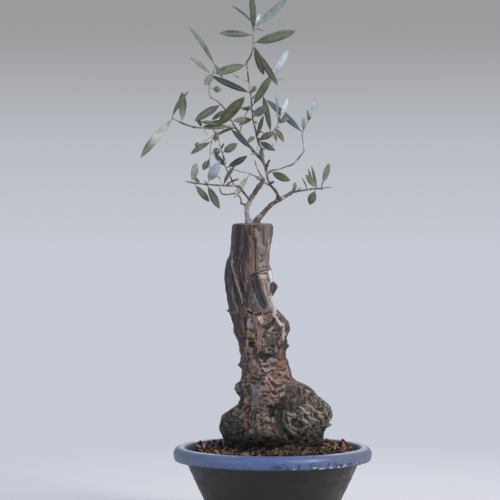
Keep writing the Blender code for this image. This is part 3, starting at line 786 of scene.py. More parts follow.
def squeezed(length, twist=0.0):
    """Bark points with the height divided by length and turned with height."""
    angle = twist * ring_z
    x, y = ring_x - middle[:, :1], ring_y - middle[:, 1:]
    return np.dstack([x * np.cos(angle) - y * np.sin(angle), x * np.sin(angle) + y * np.cos(angle),
                      ring_z / length])


def ridges(points, size, seed):
    """Sharp crests, 1 on the crest and -1 in the valleys."""
    return 1 - 2 * np.abs(noise(points, size, seed))


strands = (1.5 * ridges(squeezed(9, 0.0012), 9, 51) + 1.1 * ridges(squeezed(12, 0.0012), 4.2, 52)
           + 0.6 * rough(squeezed(10), 2.2, 53, 2))
plates = (0.9 * ridges(squeezed(0.55), 11, 54) + 0.9 * cobbles(squeezed(0.8), 8, 55)
          + 0.5 * rough(squeezed(0.7), 3, 56))
swirl = bark_points + 5 * np.dstack([noise(bark_points, 17, 44 + k) for k in range(3)])
knob_share = ease(noise(swirl, 21, 47), -0.7, 0.2)
folds = 2.0 * ridges(swirl * (1, 1, 0.5), 13, 48) + 1.0 * ridges(swirl * (1, 1, 0.7), 6, 49)
knobs = (knob_share * (2.8 * cobbles(swirl, 12, 57) + 1.7 * cobbles(swirl, 5.5, 60))
         + (1 - knob_share) * folds + 1.1 * cobbles(swirl, 3.4, 63) + 2.6 * rough(bark_points, 26, 66))
relief = strands * strand_share + plates * plate_share + knobs * burl_share
print("relief from", relief.min().round(1), "to", relief.max().round(1), "mm")

# %% [markdown]
# On top of the general relief come the marks that make it this tree: pale ridges of deadwood, a
# blue-black hollow, knobs, moss, cracks and flakes of coloured bark.  Each mark is a stroke on the
# front.  Its row gives its colour, how fully it covers, how far it stands out, its half-width and
# then the x and the height of each place that it passes, in millimetres.  The first ones lie
# under the saw cut, where the deadwood is stained dark with tan streaks.

# %% Marks under the saw cut
marks = [
    ("#55525A", 0.7, 0.4, 1.6,  -59.5, 452,  -61, 430,  -61, 408),
    ("#272C3A", 0.9, -1.2, 4.2,  -52, 458,  -51.5, 436,  -52, 410),
    ("#2A2828", 0.85, -0.6, 4.6,  -44, 456,  -43, 436,  -44, 404),
    ("#8E7C6A", 0.8, 0.8, 1.4,  -40, 457,  -40.5, 450),
    ("#4A2E2C", 0.8, -0.5, 1.8,  -36, 458,  -36, 444,  -31, 434),
    ("#6F5148", 0.8, 0.5, 1.6,  -32, 457,  -31, 444),
    ("#9A7A66", 0.85, 0.7, 2.4,  -25.5, 448,  -25, 438),
    ("#75625A", 0.8, 0.5, 3.4,  -33, 436,  -32, 418,  -31, 384),
    ("#3A2A2B", 0.9, -1.2, 1.0,  -27.5, 434,  -27, 415,  -26, 384),
    ("#8E8580", 0.85, 0.8, 3.0,  -21, 442,  -20, 424),
    ("#3A3430", 0.85, -1.0, 1.5,  -14, 450,  -14, 436,  -13, 424),
    ("#6E6468", 0.8, 0.4, 2.2,  -8.5, 450,  -9, 430),
    ("#3F4250", 0.8, -0.3, 1.8,  -3, 452,  -3, 434),
    ("#A9ABAC", 0.9, 0.4, 1.1,  -22, 456,  -11, 455.5),
    ("#9E9494", 0.8, 0.8, 1.8,  -6, 432,  -6.5, 414),
    ("#4A4448", 0.8, 2.0, 2.0,  -2, 430),
]
print(len(marks), "marks")

# %% [markdown]
# Pale rippled bark runs down the right of the upper trunk.

# %% Marks on the rippled bark
marks += [
    ("#857A7E", 0.65, 0.6, 6.0,  -17, 420,  -16, 398),
    ("#4A3E40", 0.8, -0.6, 1.3,  -20, 412,  -14, 407,  -12, 411),
    ("#C9CCCC", 0.9, 0.6, 1.6,  -19, 412),
    ("#40302F", 0.8, -0.8, 1.4,  -15, 403,  -18, 400),
    ("#8F7C76", 0.75, 0.6, 5.5,  -17, 393,  -16, 384),
    ("#4A302B", 0.75, -0.9, 0.9,  -23, 391,  -18, 390),
    ("#4A302B", 0.75, -0.9, 0.9,  -15, 392,  -9, 391),
    ("#4A302B", 0.8, -1.0, 0.9,  -24, 386.5,  -16, 385.5,  -11, 387),
    ("#3B2624", 0.9, -1.2, 0.9,  -23, 382.5,  -16, 381,  -10, 382),
    ("#BBA5A1", 0.95, 1.0, 3.2,  -20, 378,  -13, 377),
]
print(len(marks), "marks")

# %% [markdown]
# Two long ridges of deadwood frame the trunk, with a dark hollow between them.

# %% Marks of the long ridges and the hollow
marks += [
    ("#3A2825", 0.8, -0.8, 3.2,  -54, 402,  -52, 384,  -47, 366,  -42, 346),
    ("#857E77", 0.9, 1.6, 1.3,  -60, 417,  -60, 394,  -56.7, 378,  -52, 363,  -48, 351,  -46, 338),
    ("#6C6762", 0.85, 1.2, 1.3,  -60.5, 363,  -59, 344,  -55, 332,  -52, 318),
    # painted shade down the trunk's dark left edge
    ("#34353B", 0.8, -0.4, 3.0,  -67, 398,  -67.5, 370,  -66, 346,  -61, 326),
    ("#6B5A50", 0.8, 0.7, 1.6,  -40, 384,  -39, 362),
    ("#3D3A40", 0.75, -0.4, 5.5,  -35, 374,  -33, 352,  -28, 334),
    ("#8B8682", 0.9, 0.8, 1.1,  -38, 370),
    ("#8B8682", 0.9, 0.8, 1.0,  -34, 352),
    ("#7C7573", 0.9, 0.8, 1.0,  -31, 341,  -29, 337),
    ("#262B38", 0.95, -3.2, 5.2,  -27, 377,  -25, 363,  -20, 348,  -14, 334),
    ("#20363D", 0.8, -0.6, 1.8,  -20, 350,  -17, 343),
    ("#58535A", 0.7, 0.6, 1.2,  -30, 372,  -27, 362,  -25, 352),
    ("#4E4A52", 0.7, 0.5, 1.0,  -20, 372,  -18, 362),
    ("#A39C93", 0.95, 1.8, 1.6,  -16.5, 372,  -13.5, 362,  -11.8, 351,  -8, 343,  -2.6, 332,  2, 324),
    ("#D5DBE8", 1.0, 1.6, 1.9,  -5.5, 384,  -3, 370),
    ("#C9B9B7", 0.95, 1.0, 2.2,  -6, 367,  -4, 346),
    ("#2E262C", 1.0, 1.2, 5.4,  3, 366,  7, 360,  4, 352),
    ("#C3C4CE", 1.0, 1.6, 1.5,  -3, 346,  0, 333,  4, 322),
    ("#241B1C", 0.9, -2.0, 2.2,  -37, 324,  -32, 321),
    ("#241B1C", 0.9, -2.0, 1.9,  -25, 320,  -18, 322),
    ("#241B1C", 0.9, -1.8, 1.4,  -13, 323,  -8, 321,  -3, 324),
    ("#A9A29B", 0.95, 1.0, 1.6,  -37, 327,  -34, 325),
    ("#5A4A47", 0.8, 0.4, 4.0,  -24, 329,  -12, 327),
]
print(len(marks), "marks")

# %% [markdown]
# In the middle the bark breaks into flakes and plates of many colours.

# %% Marks on the plates
marks += [
    ("#6E4A40", 0.9, 0.6, 2.8,  -28, 316,  -27, 309),
    ("#B39D96", 0.95, 1.2, 3.2,  -20, 315,  -17, 311),
    ("#8E8A84", 0.9, 0.8, 2.8,  -36, 311,  -36, 302),
    ("#54444A", 0.85, 0.4, 4.6,  -8, 316,  -6, 308),
    ("#2B2A2C", 0.9, -1.6, 3.2,  -12, 302,  -4, 304,  3, 309),
    ("#B4B1B8", 0.95, 1.8, 2.2,  1, 321,  8, 310,  13, 303),
    ("#7E7474", 0.8, -0.8, 0.9,  4, 321,  9, 313,  13, 307),
    ("#C4B6AC", 0.95, 1.6, 2.0,  14, 306,  16, 296,  15.5, 284),
    ("#4A4545", 0.9, 2.0, 2.4,  20, 309,  22.5, 298,  20, 288),
    ("#3A3A3E", 0.85, -0.8, 3.2,  5, 303,  9, 296,  9, 286),
    ("#948E90", 0.75, 0.7, 3.4,  -35, 306,  -31, 303),
    ("#A58560", 0.9, 1.2, 3.4,  -37, 292,  -31, 289),
    ("#9E8A70", 0.9, 0.8, 1.6,  -39, 282,  -38.5, 275),
    ("#1F211F", 0.95, -2.8, 3.6,  -33, 276,  -31, 272),
    ("#7E6B69", 0.85, 1.0, 3.0,  -20, 296,  -20, 284,  -21, 272),
    ("#454941", 0.9, 2.6, 7.5,  -5, 290,  -3, 278),
    ("#8A8F80", 0.95, 1.0, 1.3,  -9, 291,  -7, 289),
    ("#8A8F80", 0.95, 1.0, 1.1,  -3, 283),
    ("#8A8F80", 0.9, 1.0, 1.0,  2, 288),
    ("#20211F", 0.9, -1.4, 2.0,  -4, 274,  1, 271),
    ("#2D2529", 0.95, 2.4, 3.4,  16, 279,  19, 270),
    ("#77737A", 0.9, 0.8, 1.0,  21, 272),
    ("#6E7350", 0.75, 0.8, 1.7,  -9, 265,  -5, 262,  -2, 266),
    ("#8F937C", 0.9, 0.6, 1.3,  -15.6, 262),
    ("#1D1C17", 0.9, -2.4, 4.2,  -18, 260,  -12, 255,  -6, 258),
    ("#8A838B", 0.85, 0.8, 2.8,  -3, 253,  4, 251),
    ("#6E453C", 0.7, 0.8, 3.0,  9, 262,  12, 255),
    ("#85523C", 0.8, 2.2, 4.2,  9, 246,  15, 247),
    ("#2A1815", 0.9, -2.0, 1.5,  5, 238,  12, 236,  19, 239),
    ("#B39A93", 0.9, 0.8, 1.5,  17, 243),
    ("#9A96A2", 0.9, 0.9, 2.4,  -14, 240,  -5, 238),
    ("#8F8584", 0.85, 0.7, 1.6,  -16, 247,  -6, 246),
    ("#2B1F1C", 0.95, -1.8, 1.0,  -17, 235,  -9, 234,  -1, 236),
    ("#2B1F1C", 0.95, -1.6, 0.9,  -16, 230,  -8, 231),
    ("#2B1F1C", 0.95, -1.6, 0.9,  -36, 232,  -26, 232),
    ("#85706A", 0.8, 0.5, 5.0,  -32, 248,  -30, 238),
    ("#7E6A4E", 0.85, 0.5, 2.4,  -36, 230,  -35, 218),
    ("#957468", 0.9, 1.4, 3.4,  -4, 240,  10, 236,  22, 231),
    ("#A07F74", 0.9, 1.4, 1.8,  -9, 230,  -1, 223,  8, 219),
    ("#47302C", 0.9, -1.4, 1.1,  -1, 231,  11, 226,  22, 221),
    ("#8F7268", 0.85, 1.0, 2.0,  10, 226,  24, 219),
    # down the left edge: the first and the third are painted shade on the trunk's dark side
    ("#2F2D30", 0.9, -0.5, 6.0,  -56, 316,  -52, 296,  -48, 278),
    ("#2B2322", 0.8, -1.0, 1.6,  -41, 316,  -41, 300,  -42, 284),
    ("#33363A", 0.85, -0.3, 3.2,  -47, 272,  -46.5, 250,  -46, 224),
    ("#5A4138", 0.8, 0.4, 1.6,  -41, 268,  -41, 246),
]
print(len(marks), "marks")

# %% [markdown]
# The trunk opens into the burl with broad grey and brown folds.

# %% Marks above the burl
marks += [
    ("#7A7170", 0.85, 0.8, 6.0,  -26, 212,  -24, 198,  -28, 184),
    ("#8F8888", 0.85, 0.8, 3.6,  -12, 212,  -5, 206),
    ("#8F6F60", 0.85, 1.2, 1.8,  -6, 218,  0, 212,  6, 208),
    ("#8F6F60", 0.75, 1.0, 1.5,  9, 211,  17, 215),
    ("#9A7660", 0.8, 1.2, 1.4,  -2, 203,  3, 199,  8, 202,  12, 197),
    ("#2B1F1C", 0.8, -1.4, 1.3,  -4, 206,  3, 203),
    ("#2B1F1C", 0.8, -1.4, 1.3,  9, 206,  16, 209),
    ("#4C5058", 0.9, 0.6, 3.0,  18, 217,  25, 214),
    ("#8C8C96", 0.9, 0.8, 1.6,  14, 214,  18, 212),
    ("#2F282B", 0.9, 0.2, 8.5,  24, 204,  34, 198,  40, 190),
    ("#5E5A50", 0.9, 3.0, 3.6,  -53, 211,  -53, 205),
    ("#34363A", 0.85, -0.6, 5.0,  -46, 198,  -49, 182),
    ("#7B6156", 0.9, 1.0, 3.0,  -41, 196,  -38, 186),
]
print(len(marks), "marks")

# %% [markdown]
# The burl has knots, deep hollows and small pale nodules.

# %% Marks on the burl
marks += [
    ("#15100F", 1.0, -5.0, 8.5,  -3, 178,  9, 179,  12, 162,  14, 152),
    ("#241B18", 0.8, -2.0, 8.0,  14, 190,  24, 184),
    ("#4A4A42", 0.9, 3.5, 3.0,  3, 176),
    ("#8C6C5C", 0.85, 1.4, 1.5,  -34, 172,  -30, 182,  -20, 184,  -10, 178,  -8, 168),
    ("#3F3F36", 0.9, 3.4, 5.0,  -21, 169),
    ("#8A7265", 0.9, 1.0, 1.3,  -30, 168,  -27, 175,  -20, 178,  -13, 174,  -12, 166),
    ("#7A5846", 0.7, 1.2, 6.5,  -38, 158,  -24, 150,  -12, 150),
    ("#C3A596", 0.95, 1.0, 1.2,  -33, 149,  -32, 152),
    ("#C3A596", 0.95, 1.0, 1.1,  -21, 157,  -19, 153),
    ("#C3A596", 0.95, 1.0, 1.1,  -15, 143),
    ("#8A6A50", 0.9, 1.0, 1.6,  -41, 172,  -41, 160,  -39, 148),
    ("#5A5F48", 0.9, 1.6, 3.0,  -45, 172,  -46, 164),
    ("#8F7B70", 0.95, 2.4, 2.0,  15, 177,  16.5, 162,  25, 150,  36, 140),
    ("#1C1A1E", 1.0, -5.5, 5.2,  33, 162,  40, 158),
    ("#625E55", 0.6, 1.4, 10.0,  52, 180,  66, 168,  70, 150),
    ("#A39C90", 0.9, 1.8, 1.2,  40, 184,  50, 176,  60, 163),
    ("#8F8A7E", 0.9, 1.8, 1.2,  50, 188,  62, 178,  74, 168),
    ("#8F8A7E", 0.9, 1.6, 1.2,  48, 166,  56, 156,  62, 146),
    ("#211D1C", 0.9, -2.4, 1.6,  46, 172,  54, 162),
    ("#211D1C", 0.9, -2.2, 1.6,  62, 172,  72, 158),
    ("#9A958A", 0.9, 1.4, 1.5,  76, 178,  82, 168),
    ("#8A877E", 0.95, 4.0, 2.4,  80, 153,  84, 152),
    ("#95796A", 0.9, 0.8, 4.0,  48, 146,  53, 138),
    ("#CDAA90", 0.95, 0.8, 1.3,  50, 137,  53, 133),
    ("#33312E", 0.8, 0.6, 8.0,  -68, 166,  -72, 148),
    ("#6C6B66", 0.9, 1.6, 2.0,  -72, 171,  -76, 162),
    ("#6C6B66", 0.85, 1.4, 1.4,  -78, 150,  -76, 142),
    ("#241B17", 0.8, -1.2, 8.0,  -8, 132,  14, 136,  36, 134),
    ("#15100E", 0.9, -3.0, 3.0,  18, 148,  26, 138),
]
print(len(marks), "marks")

# %% [markdown]
# The marks are laid on the relief in the order of the list, so a later one covers an earlier one.
# A little noise bends the strokes, so none has a clean edge.

# %% Lay the marks on the relief
MARK_SOFTNESS = 0.45         # share of a stroke's half-width that fades out

front_share = ease(middle[:, 1:] - ring_y, -6, 8)
mark_x = ring_x + (1.3 - 0.8 * strand_share) * rough(bark_points, 5, 71, 2)
mark_z = ring_z + (2.2 - 1.2 * strand_share) * rough(bark_points, 6, 74, 2)


def stroke_cover(places, half_width):
    """How much a stroke covers each bark point, from 0 to 1."""
    places = np.array(places, float).reshape(-1, 2)
    if len(places) == 1:
        places = np.vstack([places, places + 0.01])
    low, high = places.min(axis=0) - 2 * half_width, places.max(axis=0) + 2 * half_width
    near = ((mark_x > low[0]) & (mark_x < high[0]) & (mark_z > low[1]) & (mark_z < high[1])
            & (front_share > 0))
    x, z = mark_x[near], mark_z[near]
    away = np.full(x.shape, 1e9)
    for (ax, az), (bx, bz) in zip(places, places[1:]):
        share = ((x - ax) * (bx - ax) + (z - az) * (bz - az)) / ((bx - ax) ** 2 + (bz - az) ** 2)
        share = np.clip(share, 0, 1)
        away = np.minimum(away, np.hypot(x - ax - share * (bx - ax), z - az - share * (bz - az)))
    cover = np.zeros(ring_x.shape)
    soft = half_width * MARK_SOFTNESS
    cover[near] = (1 - ease(away, half_width - soft, half_width + soft)) * front_share[near]
    return cover


mark_covers = [(hex_colour, opacity, stroke_cover(places, half_width), rise)
               for hex_colour, opacity, rise, half_width, *places in marks]
for _, _, cover, rise in mark_covers:
    relief = relief * (1 - 0.35 * cover) + rise * cover
print("relief with marks from", relief.min().round(1), "to", relief.max().round(1), "mm")

# %% [markdown]
# Broken twigs leave short snags and stubs that show against the background.  They are the same
# kind of push, but placed by bearing and height so that they can stand anywhere round the trunk.
# The back gets hollows and knots of its own in the same way, so it is as finished as the front.

# %% Snags, knots and hollows round the trunk
SNAGS = (   # bearing in degrees (270 is the front), height, half-width, how far it stands out
    (182, 325, 2.0, 5.0), (184, 243, 2.4, 5.0), (178, 213, 3.4, 5.0), (176, 206, 3.0, 3.5),
    (355, 361, 3.0, 3.0), (352, 325, 1.6, 3.5), (350, 295, 4.0, 2.5), (354, 272, 3.6, 3.5),
    (352, 153, 3.0, 6.0), (20, 186, 5.0, 3.0), (30, 160, 6.0, 3.5), (8, 176, 4.0, 2.5),
    (188, 170, 6.0, 4.5), (186, 182, 4.0, -3.5), (172, 148, 4.0, 3.5), (60, 205, 4.5, 4.0),
    (95, 168, 7.0, 4.5),
    (120, 150, 6.0, 4.0), (140, 186, 5.0, -4.0), (75, 148, 5.0, -5.0), (100, 250, 6.0, -3.5),
    (60, 300, 4.0, 3.0), (120, 330, 5.0, 3.0), (80, 372, 4.0, -3.0), (150, 290, 3.0, 3.5),
    (45, 240, 4.0, 2.5), (110, 410, 3.0, 2.5), (20, 395, 3.0, 2.0), (210, 190, 4.0, 2.0),
)

for turn_degrees, height, half_width, rise in SNAGS:
    turned = (bearing - math.radians(turn_degrees) + math.pi) % math.tau - math.pi
    away = np.hypot(turned[None] * reach, (ring_z - height) * 0.9) / half_width
    relief += rise * np.exp(-away ** 1.6)

relief -= relief * (1 - ease(ring_z, 98, 116)) * 0.4        # calmer where it meets the soil
right_knob = 0.85 * np.exp(-((ring_z - 358) / 10) ** 4) * ease(np.cos(bearing - 0.05), 0.75, 0.95)
crest = np.clip((relief - softened(relief, 22)) / 2.2, -1, 1)
flecks = np.clip((relief - softened(relief, 3)) / 0.55, -1, 1)
print("crests and hollows", crest.min().round(2), crest.max().round(2))
out = reach + relief - 0.6
wall = np.dstack([middle[:, :1] + out * np.cos(bearing), middle[:, 1:] + out * np.sin(bearing),
                  ring_z + 0.35 * crest * burl_share])

# %% [markdown]
# Bark colour follows the relief: crests get a painted highlight, and hollows get painted shade.
# So the colour is worked out on the points, from the same noise and the same strokes, and the
# material adds the finer grain.

# %% Colours of strands, plates and burl
DEAD_GREY, STRAND_BROWN, STRAND_RED, STAIN_DARK = "#8C827E", "#5A4A43", "#6B4A3C", "#2C2426"
PLATE_BROWN, PLATE_PINK, PLATE_DARK = "#58433A", "#7E6258", "#352A28"
PLATE_EDGE, PLATE_CRACK = "#A3938E", "#2A2120"
BURL_BROWN, BURL_GREY, BURL_SHADE, LICHEN_GREEN = "#382C25", "#565149", "#33312E", "#5C6150"


def blend(colours, others, share):
    """Moves colours towards other colours by a share at each point."""
    return colours * (1 - share[..., None]) + others * share[..., None]


streaks = rough(squeezed(14, 0.0012), 6, 81)
hairs = rough(squeezed(16, 0.0012), 2.2, 82, 2)
bark = tint(painted(STRAND_BROWN, ring_x.shape),
            (STAIN_DARK, ease(streaks + 0.4 * hairs, -0.1, 0.45) * 0.95),
            (DEAD_GREY, ease(-streaks + 0.5 * hairs, 0.15, 0.75) * 0.85),
            (STRAND_RED, ease(rough(squeezed(9), 9, 84), 0.15, 0.6) * 0.6))
plate_tone = rough(squeezed(1.0), 9, 87)
plate_grain = rough(squeezed(3.5), 3.2, 107, 2)
plate_colours = tint(painted(PLATE_BROWN, ring_x.shape),
                     (PLATE_PINK, ease(plate_tone, 0.0, 0.5) * 0.8),
                     (PLATE_DARK, ease(-plate_tone, 0.05, 0.45) * 0.85),
                     (PLATE_EDGE, ease(plate_grain, 0.2, 0.6) * 0.6),
                     (PLATE_CRACK, ease(-plate_grain, 0.2, 0.6) * 0.6))
burl_tone = rough(bark_points, 13, 91)
burl_colours = tint(painted(BURL_BROWN, ring_x.shape),
                    (BURL_GREY, ease(burl_tone + 0.006 * ring_x, 0.0, 0.5) * 0.8),
                    (LICHEN_GREEN, ease(rough(bark_points, 9, 94), 0.2, 0.6) * 0.6),
                    (BURL_SHADE, ease(-ring_x - 0.3 * ring_z, 2, 18) * 0.5))
bark = blend(blend(bark, plate_colours, plate_share), burl_colours, burl_share)
print("bark colour on", bark[..., 0].size, "points")

# %% [markdown]
# The left of the upper trunk gets painted shade and the right painted sunlight.  The marks get
# their colours next, and after them the painted highlight and shade of the relief's crests and
# hollows, so that the marks keep their grain.  Deep hollows get their dark colours again at the end
# as painted shade, and the foot and the left of the burl get painted shade too.

# %% Colours of marks, crests and hollows
PAINTED_SHADE_BLUE, PAINTED_SUNLIGHT, KNOB_DARK, WARM_BROWN = "#26252C", "#978A85", "#2E262C", "#5B3D30"
CREST_PAINTED_HIGHLIGHT, HOLLOW_PAINTED_SHADE, FOOT_AND_LEFT_PAINTED_SHADE = "#A79B92", "#1B1615", "#211B18"
DEEP = -2                    # marks pressed in by this many millimetres are hollows

half_way = ring_x - middle[:, :1]
# painted shade on the left of the upper trunk and painted sunlight on the right
bark = tint(bark, (PAINTED_SHADE_BLUE, (1 - ease(half_way, -20, 4)) * 0.55 * strand_share * front_share),
            (PAINTED_SUNLIGHT, ease(half_way, 2, 18) * 0.38 * strand_share))
worn = 0.6 + 0.4 * ease(rough(squeezed(2.5), 3.5, 101), -0.35, 0.35)
bark = tint(bark, *((hex_colour, cover * opacity * worn)
                    for hex_colour, opacity, cover, _ in mark_covers))
warm = ease(-np.abs(ring_x + 12), -46, -20) * burl_share * front_share
# painted shade in the hollows of the relief and painted highlight on its crests, at two sizes
bark = tint(bark, (KNOB_DARK, right_knob),
            (HOLLOW_PAINTED_SHADE, ease(-crest + 0.18 * burl_share, 0.1, 0.7) * 0.92),
            (CREST_PAINTED_HIGHLIGHT, ease(crest, 0.35, 0.95) * (0.25 + 0.3 * burl_share)),
            (HOLLOW_PAINTED_SHADE, ease(-flecks, 0.1, 0.7) * 0.85),
            (CREST_PAINTED_HIGHLIGHT, ease(flecks, 0.35, 0.95) * (0.32 + 0.12 * burl_share)),
            (WARM_BROWN, warm * ease(rough(bark_points, 7, 104), -0.2, 0.4) * 0.55))
# painted shade: marks pressed in to DEEP or more lay their dark colour again, and marks that cover fully
# are laid again too
bark = tint(bark, *((hex_colour, cover * 0.75) for hex_colour, opacity, cover, rise in mark_covers
                    if rise <= DEEP or opacity == 1.0))
# painted shade at the foot of the trunk and on the left of the burl
bark = tint(bark, (FOOT_AND_LEFT_PAINTED_SHADE, (1 - ease(ring_z + 10 * wander, 128, 180)) * 0.85),
            (FOOT_AND_LEFT_PAINTED_SHADE, (1 - ease(half_way + 10 * wander, -44, -18)) * 0.45 * burl_share))
print("mean bark colour", bark.mean(axis=(0, 1)).round(3))

# %% [markdown]
# The saw cut closes the trunk at the top.  Its edge has worn round, and weather has opened the
# end grain: rings stand out as fine ridges, and dry checks run from the middle outwards.

# %% Close the trunk with its saw cut
SAW_LEVEL = 457.2            # height of the cut at the trunk's middle
SAW_SLOPE = 0.06             # the cut falls towards the front
RING_WIDTH = 2.4             # mm, coarser than real olive growth rings so that they show
CHECKS = ((0.3, 0.8), (1.9, 0.65), (2.8, 0.9), (4.1, 0.55), (5.2, 0.85))   # bearing and length
CUT_GREY, CUT_PALE, RING_DARK, CHECK_DARK = "#7F756C", "#A49B92", "#4B413B", "#1E1916"

edge = wall[-1]
edge_middle = np.array([*middle[-1], 0.0])
cut_points, cut_colours = [], []
for share in np.linspace(0, 1, CUT_ROWS + 1)[1:]:
    inward = 1 - share ** 1.25 * 0.985
    row = edge_middle + (edge - edge_middle) * np.array([inward, inward, 0])
    out = lengths(row - edge_middle)
    depth = lengths(edge[:, :2] - row[:, :2])
    arc = np.sqrt(np.clip(1 - (1 - np.clip(depth / EDGE_ROUND, 0, 1)) ** 2, 0, 1))
    top = SAW_LEVEL + SAW_SLOPE * row[:, 1]
    grain = 0.25 * np.sin(out / RING_WIDTH * math.tau + 1.5 * noise(row, 12, 97))
    check = sum(np.exp(-(((bearing - turn) * out) / 0.9) ** 2) * ease(-out / 30, -length, -0.05)
                for turn, length in CHECKS)
    row[:, 2] = edge[:, 2] + (top - edge[:, 2]) * arc
    row[:, 2] += (grain + 0.5 * rough(row, 5, 98) - 2.2 * check) * ease(depth, 1, 5)
    cut_points.append(row)
    tone = tint(painted(CUT_GREY, (TRUNK_COLUMNS,)), (RING_DARK, ease(grain, -0.1, 0.25) * 0.7),
                (CUT_PALE, ease(rough(row, 7, 99), 0.1, 0.6) * 0.6), (CHECK_DARK, np.clip(check, 0, 1)))
    cut_colours.append(blend(bark[-1], tone, ease(depth, 1, 5)))
trunk_grid = np.vstack([wall, np.array(cut_points)])
trunk_colours = np.vstack([bark, np.array(cut_colours)])
print("saw cut", CUT_ROWS, "rings of points")

# %% [markdown]
# **Old olive bark and bleached deadwood.**  Bark is a matt, fibrous skin.  Deadwood is grey,
# with a silky shine where the weather has polished it.  The material takes its colours from the
# points and adds what is finer than they are: fibres along the trunk and pores.

# %% Old olive bark
def old_olive_bark():
    material, tree, shader, place = start_material("old_olive_bark", 0.82, 1.45)
    long_way = add(tree, "Mapping", {"Vector": place, "Scale": (1, 1, 0.16)})
    fibre = add(tree, "TexNoise", {"Vector": long_way, "Scale": per_mm(1.8), "Detail": 6})
    pores = add(tree, "TexNoise", {"Vector": place, "Scale": per_mm(3.5), "Detail": 8, "Roughness": 0.65})
    both = add(tree, "Math", (fibre, pores), operation="ADD")
    shade = add(tree, "MapRange", (both, 0.75, 1.25, 0.55, 1.4))
    base = shaded_tone(tree, "bark_colour", shade)
    matt = add(tree, "MapRange", (pores, 0.35, 0.65, 0.5, 0.9))
    bump = add(tree, "Bump", {"Height": both, "Strength": 0.7, "Distance": 0.0009})
    plug(shader, {"Base Color": base, "Roughness": matt, "Normal": bump})
    return material


stump = add_piece("stump", trunk_grid, [old_olive_bark()], "old_bark", ["trunk"],
                  bark_colour=trunk_colours)
print("stump has", len(stump.data.polygons), "faces")

# %% [markdown]
# ## The shoots and twigs
#
# The frame draws each stem as a tube with eight sides.  Reading it back gives the middle line and
# the girth: the first ring is found at one end, and every next ring is the set of corners that
# the last one's edges lead to.  The same walk reads the leaves, whose rings have four corners.

# %% Walk along a frame piece ring by ring
def rings_of(node, size):
    """The rings of a long frame piece in order, each an array of its corners."""
    corners, edges = read_node(node)
    joined = [set() for _ in corners]
    for a, b in edges.tolist():
        joined[a].add(b)
        joined[b].add(a)
    first = lengths(corners - corners.mean(axis=0)).argmax()
    last = lengths(corners - corners[first]).argmax()
    for end in (first, last):
        away = lengths(corners - corners[end])
        rings = [set(away.argsort()[:size].tolist())]
        seen = set(rings[0])
        while rings[-1]:
            rings.append(set().union(*(joined[k] for k in rings[-1])) - seen)
            seen |= rings[-1]
        if all(len(ring) == size for ring in rings[:-1]):
            break
    return [corners[sorted(ring)] for ring in rings[:-1]]


def middle_line(node):
    """Rows of x, y, z and radius along a stem or a fruit."""
    rings = rings_of(node, 8)
    middles = np.array([ring.mean(axis=0) for ring in rings])
    girths = [lengths(ring - at).mean() for ring, at in zip(rings, middles)]
    return np.column_stack([middles, girths])


def stem_line(node):
    """A smooth line through a stem, from its thick end to its thin end."""
    line = middle_line(node)
    return smooth_route(line if line[0, 3] > line[-1, 3] else line[::-1], 1.0)


# %% Name each stem's host
HOSTS = {
    "shoot_left": "trunk", "shoot_right": "trunk", "limb": "shoot_right", "branch_left": "limb",
    "leader": "limb", "twig_right": "limb", "branch_back": "limb", "twig_zigzag": "limb",
    "leader_tip": "leader", "twig_upper_right": "leader", "twig_centre_right": "leader",
    "sprig_right": "twig_right", "twig_low_left": "shoot_left", "twig_hook": "shoot_left",
    "twig_cluster": "twig_low_left", "twig_hang": "branch_left",
}
stem_lines = {node: stem_line(node) for node in HOSTS}
print(len(stem_lines), "stems, the longest", max(len(line) for line in stem_lines.values()), "mm")

# %% [markdown]
# In the frame the stems only just clear each other.  Real twigs grow out of their branch, so each
# one is led back to its host's middle line and thickened there into a small collar.

# %% Join a stem to its host
COLLAR_LENGTH = 5.0          # mm
COLLAR_SWELL = 0.45          # share added to the girth at the very base


def nearest_row(line, place):
    """The row of a line nearest to a place."""
    return line[lengths(line[:, :3] - np.asarray(place)[:3]).argmin()]


def rooted(line, host):
    """A stem's line led back into its host, with a collar at its base."""
    base = line[0]
    if host == "trunk":
        step = line[0, :3] - line[3, :3]
        root = np.r_[base[:3] + step / np.linalg.norm(step) * 8, base[3]]
    else:
        root = nearest_row(stem_lines[host], base)
        root = np.r_[root[:3], min(base[3] * 1.1, root[3] * 0.9)]
    gap = np.linalg.norm(base[:3] - root[:3])
    extra = [root + (base - root) * share for share in np.linspace(0, 1, max(2, round(gap)) + 1)]
    line = np.vstack([extra[:-1], line])
    along = distance_along(line)
    swell = np.exp(-np.maximum(along - gap, 0) / COLLAR_LENGTH)
    line[:, 3] *= 1 + COLLAR_SWELL * swell
    return line


# %% [markdown]
# A stem's skin is a tube carried round the bends without twisting.  Its girth swells a little at
# each node, where a pair of leaves once grew, and noise makes it knobbly.  Young olive bark is
# smooth and grey-green, and it turns to rough grey-brown as a shoot thickens, so the colour is
# worked out from the girth.

# %% Sweep a tube along a line
def tube(line, sides):
    """Rings of points round a line of x, y, z and radius."""
    middles = line[:, :3]
    headings = np.gradient(middles, axis=0)
    headings /= lengths(headings)[:, None]
    side = np.cross(headings[0], (0.3, 1.0, 0.2))
    turn = full_turn(sides)
    rings = []
    for at, heading, radius in zip(middles, headings, line[:, 3]):
        side = side - heading * side.dot(heading)
        side = side / np.linalg.norm(side)
        other = np.cross(heading, side)
        arms = np.outer(np.cos(turn), side) + np.outer(np.sin(turn), other)
        rings.append(at + arms * radius)
    return np.array(rings)


